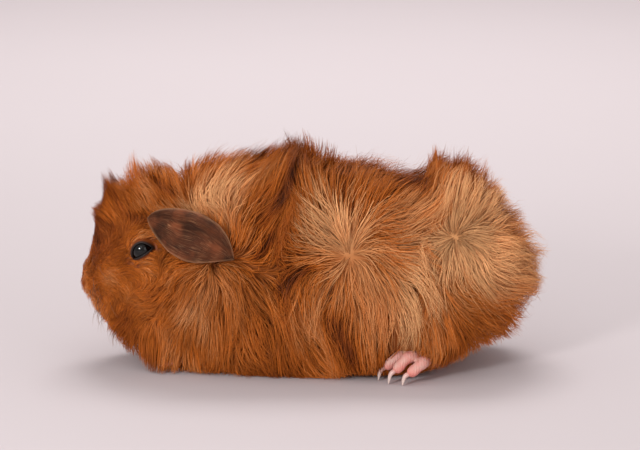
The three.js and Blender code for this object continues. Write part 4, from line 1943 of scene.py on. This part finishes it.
@dataclass(frozen=True)
class Spread:
    """How much strands differ from one another: alone, as a small lock and as a large lock.

    `sway` and `curl` are degrees, `rise` and `tint` are shares, and a `lock` counts its strands.
    """

    lock: tuple[int, int] = (10, 70)
    sway: Triple = (6, 6, 8)
    curl: Triple = (5, 6, 12)
    rise: tuple[float, float] = (0.08, 0.12)
    tint: Triple = (0.13, 0.13, 0.12)
    length: tuple[float, float] = (0.72, 1.12)
    breadth: tuple[float, float] = (0.8, 1.15)
    guard_rise: tuple[float, float] = (1.15, 1.6)
    fringe: tuple[float, float] = (0.75, 1.15)
    marking: float = 0.05


@dataclass
class Strands:
    """Strand paths with what the finish needs to know about each."""

    points: Array
    ups: Array
    breadth: Array
    tint: Array
    marking: Array
    root_uv: Array


@dataclass
class Coat:
    """Grows the hair from the skin, lays it down and gathers it into locks."""

    lattice: SkinLattice
    ear: Ear
    markings: Markings
    combing: Combing = Combing()
    charts: CoatCharts = CoatCharts()
    spread: Spread = Spread()
    seed: int = 20
    profile_sides: int = 3
    flatness: float = 0.24
    roll: float = 0.2
    fullness: float = 0.968
    guard_share: float = 0.11
    heart_crowding: tuple[float, float] = (1.5, 8.0)
    hem: tuple[tuple[float, ...], ...] = (
        (13, 18, 30, 40, 50, 60, 72, 84, 96), (0, 2.6, 3.6, 2, 3, 6, 8, 10.5, 14),
    )
    patch: float = 0.003
    map_edge: float = 0.002
    toes_clear: tuple[Triple, Triple] = ((41.0, 46.0, 5.8), (10.5, 8.5, 7.4))
    taper: tuple[tuple[float, float], ...] = ((0, 0.75), (0.2, 1), (0.55, 0.9), (0.8, 0.6), (1, 0.07))

    def __post_init__(self) -> None:
        """Prepares what is known at each face of the skin."""
        lattice = self.lattice
        self.random = np.random.default_rng(self.seed)
        flow, agreement, heart = self.combing.flow(lattice)
        corners = np.array([face if len(face) == 4 else (*face, face[2]) for face in lattice.faces])
        self.corners = corners
        self.face_flow = unit(flow[corners].mean(axis=1))
        self.face_agreement = agreement[corners].mean(axis=1)
        self.face_heart = heart[corners].mean(axis=1)
        self.face_standoff = lattice.standoff[corners].mean(axis=1)
        self.face_normal = unit(lattice.normals[corners].mean(axis=1))
        self.face_middle = lattice.skin[corners].mean(axis=1)
        self.face_turn = lattice.turn[corners].mean(axis=1)
        self.tree = BVHTree.FromPolygons(lattice.skin.tolist(), lattice.faces)

    def _scatter(self) -> tuple[Array, Array]:
        """Sows roots over the skin.

        Returns:
            The face of each root, and the shares of the face's corners that place it there.
        """
        skin = self.lattice.skin
        a, b, c, d = (skin[self.corners[:, k]] for k in range(4))
        area = 0.5 * np.linalg.norm(np.cross(c - a, d - b), axis=1)
        wanted = area * self.charts.closeness.at(self.face_middle[:, 0], self.face_turn)
        wide, narrow = self.heart_crowding
        wanted *= 1 + wide * self.face_heart + narrow * self.face_heart**3
        wanted *= 1 - self._bare(self.face_middle)
        wanted *= self.fullness * 1.0
        count = int(wanted.sum())
        edges = np.cumsum(wanted) / wanted.sum()
        picks = (np.arange(count) + self.random.random(count)) / count
        faces = np.searchsorted(edges, picks)
        faces = np.minimum(faces, len(self.corners) - 1)
        s, t = self.random.random((2, count))
        shares = np.stack([(1 - s) * (1 - t), s * (1 - t), s * t, (1 - s) * t], axis=1)
        return faces, shares

    def _bare(self, points: Array) -> Array:
        """Where no hair grows: the nose's tip, the nostrils and lips, and inside the lids.

        Args:
            points: Places, as rows.

        Returns:
            How bare each is, from 0 to 1.
        """
        head = self.lattice.head
        nose = bell(np.linalg.norm((points - np.array([-111, 0, 41])) / np.array([1, 1, 1.8]), axis=1), 1.7)
        bare = smoothstep(0.45, 0.75, nose)
        for side in Side:
            spot = head.nostril_on(self.lattice.skin, side)
            bare = np.maximum(bare, smoothstep(0.25, 0.6, bell(np.linalg.norm(points - spot, axis=1), 1.7)))
            bare = np.maximum(bare, smoothstep(0.8, 0.4, head.eye.outside(points, side)))
        return bare

    def grow(self) -> dict[tuple[str, Side], Strands]:
        """Grows all strands and sorts them into bands.

        Returns:
            The strands of each band and side.
        """
        faces, shares = self._scatter()
        skin = self.lattice.skin
        roots = np.einsum("nk,nkj->nj", shares, skin[self.corners[faces]])
        even = self.lattice.even[self.corners[faces]]
        angle = self.lattice.angle[self.corners[faces]]
        angle = np.where(angle - angle[:, :1] < -np.pi, angle + 2 * np.pi, angle)
        lengthwise, round_about = np.sum(even * shares, axis=1), np.sum(angle * shares, axis=1)
        root_uv = np.stack([lengthwise, round_about / (2 * np.pi)], axis=1)
        root_uv = self.map_edge + (1 - 2 * self.patch) * np.clip(root_uv, 0, 1)
        grown = {}
        for band in BANDS:
            for side in Side:
                on_side = roots[:, 1] * side.value >= 0
                chosen = np.flatnonzero((roots[:, 0] >= band.start) & (roots[:, 0] < band.end) & on_side)
                strands = self._lay(band, side, roots[chosen], faces[chosen], root_uv[chosen])
                grown[(band.name, side)] = strands
        return grown

    def _lay(self, band: CoatBand, side: Side, roots: Array, faces: Array, root_uv: Array) -> Strands:
        """Lays the strands of one band along the skin and gathers them into locks.

        Args:
            band: The stretch of the body.
            side: Which side.
            roots: Where each strand starts.
            faces: The skin's face under each root.
            root_uv: Each root's place on the unwrapped skin.

        Returns:
            The strands.
        """
        count = len(roots)
        random, spread = self.random, self.spread
        turn = self.face_turn[faces]
        heart = self.face_heart[faces]
        length = self.charts.length.at(roots[:, 0], turn) * random.uniform(*spread.length, count)
        length *= 1 - 0.45 * heart * random.uniform(0.0, 1.2, count)
        level = 1 - 0.82 * random.random(count) ** 1.5
        breadth = 0.5 * band.breadth * (1.3 - 0.62 * level) * random.uniform(*spread.breadth, count)
        proud = random.random(count) < self.guard_share
        rise = random.uniform(*spread.guard_rise, count) + 0.35 * bell(turn, 40)
        level = np.where(proud, level * rise, level) * self.charts.loft.at(roots[:, 0], turn)
        breadth = np.where(proud, 0.55 * breadth, breadth)
        (small, small_of), (large, large_of) = (self._clump(roots, size) for size in spread.lock)

        def vary_by_lock(alone: float, by_small: float, by_large: float) -> Array:
            """Draws a difference for each strand, each small lock and each large lock."""
            each = random.normal(0, alone, count) + random.normal(0, by_small, len(small))[small_of]
            return each + random.normal(0, by_large, len(large))[large_of]

        sway = vary_by_lock(*spread.sway)
        curl = vary_by_lock(*spread.curl) * (1 - 0.7 * heart)
        level *= (1 + random.normal(0, spread.rise[0], len(small)))[small_of]
        level *= (1 + random.normal(0, spread.rise[1], len(large)))[large_of]
        points, ups = self._walk(band.steps, roots, faces, length, level, np.radians(sway), np.radians(curl))
        along = np.linspace(0, 1, band.steps + 1)
        locks = self.charts.locks.at(roots[:, 0], turn) * (1 - heart) * np.where(proud, 0.4, 1.0)
        points = self._gather(points, large, large_of, locks, along)
        points = self._gather(points, small, small_of, 0.32 * (1 - heart), along)
        points = self._hang(points, turn, side)
        vary = 1.06 - 0.4 * random.random(count) ** 1.6
        for tuft in TUFTS:
            points = tuft.draw(points, along, side, vary)
        points = self._lift_hem(points, random.uniform(*spread.fringe, count))
        points = self.ear.tuck(points.reshape(-1, 3), side).reshape(points.shape)
        points[:, :, 2] = np.maximum(points[:, :, 2], 0.3 + 0.4 * random.random((count, 1)))
        keep = self._clear(points, side)
        ups = unit(ups + random.normal(0, self.roll, (count, 1, 3)))
        tint = np.clip(0.5 + vary_by_lock(*spread.tint), 0, 1)
        marking = (self.markings.at(roots) + random.normal(0, spread.marking, count))[:, None]
        # Painted shade along the partings, darker on strands that lie low in the coat.
        parted = self.markings.parted(points.reshape(-1, 3)).reshape(points.shape[:2])
        marking = np.clip(marking + parted * np.clip(1.25 - 0.7 * level, 0.3, 1.0)[:, None], 0, 1)
        return Strands(*(each[keep] for each in (points, ups, breadth, tint, marking, root_uv)))

    def _clump(self, roots: Array, size: int) -> tuple[Array, Array]:
        """Chooses leading strands and finds the nearest leader of each strand.

        Args:
            roots: Where each strand starts.
            size: Strands in each lock.

        Returns:
            The leaders, and the leader that each strand follows.
        """
        count = max(1, len(roots) // size)
        leaders = self.random.choice(len(roots), count, replace=False)
        tree = KDTree(count)
        for number, leader in enumerate(leaders):
            tree.insert(roots[leader], number)
        tree.balance()
        follows = np.array([tree.find(root)[1] for root in roots])
        return leaders, follows

    @staticmethod
    def _gather(points: Array, leaders: Array, follows: Array, strength: Array, along: Array) -> Array:
        """Draws the strands of each lock together towards its leader's tip."""
        share = strength[:, None] * along[None, :] ** 1.3
        return points + (points[leaders[follows]] - points) * share[:, :, None]

    @staticmethod
    def _hang(points: Array, turn: Array, side: Side) -> Array:
        """Lets the hair of the lower flanks hang down instead of following the belly inward.

        Args:
            points: Strand points.
            turn: Degrees down from the top of the back.
            side: Which side.

        Returns:
            The moved points.
        """
        hangs = smoothstep(84, 100, turn) * (1 - smoothstep(128, 142, turn))
        outward = points[:, :, 1] * side.value
        least = np.where(hangs[:, None] > 0, outward[:, :1] * hangs[:, None], 0.0)
        hung = points.copy()
        hung[:, :, 1] = np.maximum(outward, least) * side.value
        return hung

    def _lift_hem(self, points: Array, vary: Array) -> Array:
        """Keeps the fringe of the flanks as far off the floor as its hem runs.

        Args:
            points: Strand points.
            vary: The share of the hem's height that each strand keeps.

        Returns:
            The moved points.
        """
        x, y, z = np.moveaxis(points, 2, 0)
        least = np.interp(x[:, -1], *self.hem) * smoothstep(18, 28, np.abs(y[:, -1])) * vary
        drop = z[:, 0] - z.min(axis=1)
        share = np.clip((z[:, 0] - least) / np.maximum(drop, 1e-3), 0.1, 1.0)
        lifted = points.copy()
        lifted[:, :, 2] = z[:, :1] + (z - z[:, :1]) * np.where(z < z[:, :1], share[:, None], 1.0)
        return lifted

    def _walk(
        self, steps: int, roots: Array, faces: Array, length: Array, level: Array, sway: Array, curl: Array
    ) -> tuple[Array, Array]:
        """Walks each strand over the skin as it climbs to its own height in the coat.

        Args:
            steps: Steps in a strand.
            roots: Where each strand starts.
            faces: The skin's face under each root.
            length: Each strand's length.
            level: The share of the coat's depth that it climbs.
            sway: How far it strays from the lie, as an angle.
            curl: How much it bends on its way, as an angle.

        Returns:
            Strand points, and the way out of the skin at each.
        """
        count = len(roots)
        here = roots.copy()
        at_face = faces.copy()
        height = np.zeros(count)
        up = unit(self.face_standoff[at_face])
        points = [roots - 0.35 * up]
        ups = [up]
        stride = length / steps
        for step in range(1, steps + 1):
            flow = self.face_flow[at_face]
            normal = self.face_normal[at_face]
            turn = (sway + curl * (2 * step / steps - 0.8))[:, None]
            flow = flow * np.cos(turn) + np.cross(normal, flow) * np.sin(turn)
            agreement = self.face_agreement[at_face]
            stand = smoothstep(0.75, 0.3, agreement)
            depth = np.linalg.norm(self.face_standoff[at_face], axis=1)
            power = 2.0 - 0.8 * stand
            share = 1 - (1 - step / steps) ** power
            target = np.minimum(level * depth * (1 + 0.1 * stand), 0.93 * length) * share
            climb = np.clip(target - height, -0.5 * stride, 0.97 * stride)
            glide = np.sqrt(np.maximum(stride**2 - climb**2, 0.0))
            ahead = here + flow * glide[:, None]
            for k in range(count):
                spot, _, face, _ = self.tree.find_nearest(ahead[k])
                here[k] = spot
                at_face[k] = face
            height = height + climb
            up = unit(self.face_standoff[at_face])
            points.append(here + up * height[:, None])
            ups.append(up)
        return np.stack(points, axis=1), np.stack(ups, axis=1)

    def _clear(self, points: Array, side: Side) -> Array:
        """Shortens strands that would cross an eye, and finds those to leave out.

        Args:
            points: Strand points, changed in place.
            side: The side that the strands are on.

        Returns:
            Which strands to keep: those that cross neither an eye nor a hind foot's toes.
        """
        for _ in range(3):
            crossing = self._crosses_eye(points, side)
            points[crossing] = points[crossing, :1] + 0.6 * (points[crossing] - points[crossing, :1])
        toes, reach = self.toes_clear
        offset = (points - side.of(toes)) / np.array(reach)
        in_toes = (np.sum(offset**2, axis=2) < 1).any(axis=1)
        return ~(self._crosses_eye(points, side) | in_toes)

    def _crosses_eye(self, points: Array, side: Side) -> Array:
        """Finds strands that reach into the lids' opening."""
        away = self.lattice.head.eye.outside(points.reshape(-1, 3), side)
        return (away < 0.15).reshape(points.shape[:2]).any(axis=1)

    def piece(self, name: str, strands: Strands, sweep: CoatSweep) -> Piece:
        """Makes one piece of the coat from its strands.

        Args:
            name: The piece's name.
            strands: Its strands.
            sweep: The tree that gives them their bodies.

        Returns:
            The piece's object.
        """
        count, steps, _ = strands.points.shape
        mesh = bpy.data.meshes.new(name)
        mesh.vertices.add(count * steps)
        mesh.vertices.foreach_set("co", (strands.points * MM).ravel())
        starts = (np.arange(count)[:, None] * steps + np.arange(steps - 1)[None, :]).ravel()
        mesh.edges.add(len(starts))
        mesh.edges.foreach_set("vertices", np.stack([starts, starts + 1], axis=1).ravel())
        along = np.tile(np.linspace(0, 1, steps), (count, 1))
        taper = np.interp(along, *zip(*self.taper))
        tangents = unit(np.gradient(strands.points, axis=1))
        lay = strands.ups - np.sum(strands.ups * tangents, axis=2, keepdims=True) * tangents
        lay = unit(lay + 1e-4)
        made = bpy.data.objects.new(name, mesh)
        bpy.context.scene.collection.objects.link(made)
        store(
            made,
            along=along,
            thick=strands.breadth[:, None] * taper * MM,
            tint=np.repeat(strands.tint, steps),
            marking=strands.marking,
            root_u=np.repeat(strands.root_uv[:, 0], steps),
            root_v=np.repeat(strands.root_uv[:, 1], steps),
        )
        mesh.attributes.new("lay", "FLOAT_VECTOR", "POINT").data.foreach_set("vector", lay.ravel())
        mesh.update()
        sweep.sweep(made, self.profile_sides, self.flatness)
        self._unwrap(made.data)
        return made

    def _unwrap(self, mesh: bpy.types.Mesh) -> None:
        """Gives each strand a small patch of the bake map at its root's place on the skin.

        Args:
            mesh: A piece of the coat.
        """
        count = len(mesh.vertices)
        values = {}
        for key in ("root_u", "root_v", "along"):
            values[key] = np.empty(count)
            mesh.attributes[key].data.foreach_get("value", values[key])
        corner = np.arange(count) % self.profile_sides
        u = values["root_u"] + self.patch * corner / self.profile_sides
        v = values["root_v"] + self.patch * values["along"]
        loops = np.empty(len(mesh.loops), dtype=int)
        mesh.loops.foreach_get("vertex_index", loops)
        layer = mesh.uv_layers.new(name="OFBake")
        layer.data.foreach_set("uv", np.stack([u[loops], v[loops]], axis=1).ravel())
        for key in ("root_u", "root_v", "thick", "lay"):
            if key in mesh.attributes:
                mesh.attributes.remove(mesh.attributes[key])


# ---- Studio ----


@dataclass(frozen=True)
class Lamp:
    """A square soft light: its place, its side, its watts and the spot that it faces."""

    name: str
    place: Triple
    size: float
    power: float
    faces: Triple = (3.36, 0.0, 66.2)


@dataclass(frozen=True)
class Studio:
    """The floor, the light and the camera."""

    lamps: tuple[Lamp, ...] = rows(
        Lamp,
        ("key", (-180, -800, 640), 420, 0.6),
        ("catch", (-420, -760, 360), 150, 3.9),
        ("top", (260, 60, 900), 700, 1.0),
        ("fill", (600, -600, 300), 500, 0.9),
        ("wall", (0, 900, 1500), 900, 21.0, (0, 1450, 0)),
    )
    daylight: tuple[float, ...] = (1.0, 0.965, 0.955, 1.0)
    daylight_strength: float = 0.56
    wall_bend: float = 300.0
    aim: Triple = (3.36, 0.0, 66.2)
    distance: float = 1100.0
    elevation: float = 12.0
    lens: float = 128.9
    sensor: float = 36.0
    floor_half: float = 2400.0
    wall_at: float = 2100.0
    wall_height: float = 1800.0

    def camera(self) -> None:
        """Puts the camera level with the animal's left side and a little above it."""
        data = bpy.data.cameras.new("camera")
        data.lens = self.lens
        data.sensor_width = self.sensor
        data.clip_start = 0.01
        data.clip_end = 20
        made = bpy.data.objects.new("camera", data)
        tilt = math.radians(self.elevation)
        aim = Vector(self.aim)
        made.location = (aim + self.distance * Vector((0, -math.cos(tilt), math.sin(tilt)))) * MM
        made.rotation_euler = (math.radians(90) - tilt, 0, 0)
        bpy.context.scene.collection.objects.link(made)
        bpy.context.scene.camera = made

    def floor(self) -> None:
        """A pale sheet that runs back and sweeps up behind."""
        bend = self.wall_bend
        arc = np.linspace(0, np.pi / 2, 13)
        ys = np.concatenate([[-self.floor_half], self.wall_at + bend * np.sin(arc), [self.wall_at + bend]])
        zs = np.concatenate([[0.0], bend * (1 - np.cos(arc)), [self.wall_height]])
        left = np.stack([np.full_like(ys, -self.floor_half), ys, zs], axis=1)
        right = left * np.array([-1, 1, 1])
        count = len(ys)
        faces = [(k, count + k, count + k + 1, k + 1) for k in range(count - 1)]
        sheet = mesh_object("studio_floor", np.vstack([left, right]), faces)
        sheet.data.materials.append(FloorFinish().material())

    def light(self) -> None:
        """Soft light from above and in front, with a pale fill all round."""
        bpy.context.scene.view_settings.view_transform = "Standard"
        world = bpy.data.worlds.new("studio")
        world.use_nodes = True
        background = world.node_tree.nodes["Background"]
        background.inputs["Color"].default_value = self.daylight
        background.inputs["Strength"].default_value = self.daylight_strength
        bpy.context.scene.world = world
        for lamp in self.lamps:
            self._hang(lamp)

    @staticmethod
    def _hang(lamp: Lamp) -> None:
        """Adds one lamp to the scene.

        Args:
            lamp: The lamp's place, size and power.
        """
        data = bpy.data.lights.new(lamp.name, "AREA")
        data.size = lamp.size * MM
        data.energy = lamp.power
        made = bpy.data.objects.new(lamp.name, data)
        made.location = Vector(lamp.place) * MM
        toward = Vector(lamp.faces) * MM - made.location
        made.rotation_euler = toward.to_track_quat("-Z", "Y").to_euler()
        bpy.context.scene.collection.objects.link(made)


# ---- Assembly ----


@dataclass
class GuineaPig:
    """Builds the pieces in order and hands each to the frame."""

    lattice: SkinLattice = field(default_factory=SkinLattice)
    markings: Markings = Markings()
    ear: Ear = Ear()
    colours: CoatColours = CoatColours()
    flesh_nodes: tuple[str, ...] = ("head", "neck", "trunk")
    paired_nodes: tuple[str, ...] = ("ear", "hind_leg", "fore_leg", "hind_foot", "fore_foot")

    @staticmethod
    def hand_over(piece: Piece, slot: str, *nodes: str) -> None:
        """Gives a finished piece to the frame and reports it.

        Args:
            piece: The piece.
            slot: Not used.
            nodes: The solids that it stands for.
        """
        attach(piece, "root")
        if nodes:
            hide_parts(*nodes)
        LOG.info("%s: %d faces", piece.name, len(piece.data.polygons))

    def build(self) -> None:
        """Builds everything."""
        self.build_skin()
        self.build_eyes()
        self.build_claws()
        self.build_whiskers()
        self.build_coat()

    def build_skin(self) -> None:
        """The skin, with its ears, feet and lids."""
        finishes = {"ear": EarFinish(), "foot": FootFinish(), "lid": LidFinish(self.colours)}
        bare = {name: finish.material() for name, finish in finishes.items()}
        skin = Skin(self.lattice, self.ear, self.markings).build(HideFinish(self.colours).material(), bare)
        nodes = list(self.flesh_nodes)
        nodes += [f"{node}_{side.word}" for node in self.paired_nodes for side in Side]
        self.hand_over(skin, "coat", *nodes)

    def build_eyes(self) -> None:
        """Both eyeballs."""
        material = EyeFinish().material()
        for side in Side:
            eye = self.lattice.head.eye.build(side, material)
            self.hand_over(eye, "eye", f"eye_{side.word}")

    def build_claws(self) -> None:
        """Every claw, in the place of its solid."""
        material = ClawFinish().material()
        toes = [(foot, side, *toe) for foot in FEET for side in Side for toe in enumerate(foot.toes, start=1)]
        for foot, side, number, toe in toes:
            points, faces, quick = foot.claw(toe, side)
            name = f"{foot.name}_claw_{side.word}_{number}"
            claw = mesh_object(f"horn_{name}", points, faces)
            store(claw, quick=quick)
            claw.data.materials.append(material)
            self.hand_over(claw, "claw_horn", name)

    def build_whiskers(self) -> None:
        """The stiff hairs of the face."""
        self.hand_over(Whiskers().build(self.lattice, WhiskerFinish().material()), "coat")

    def build_coat(self) -> None:
        """All bands of hair."""
        coat = Coat(self.lattice, self.ear, self.markings)
        sweep = CoatSweep(CoatFinish(self.colours).material())
        for (name, side), strands in coat.grow().items():
            self.hand_over(coat.piece(f"coat_{name}_{side.word}", strands, sweep), "coat")


def main() -> None:
    """Builds the studio and the animal."""
    logging.basicConfig(level=logging.INFO, format="%(message)s")
    studio = Studio()
    studio.camera()
    studio.floor()
    studio.light()
    GuineaPig().build()


if __name__ == "__main__":
    main()
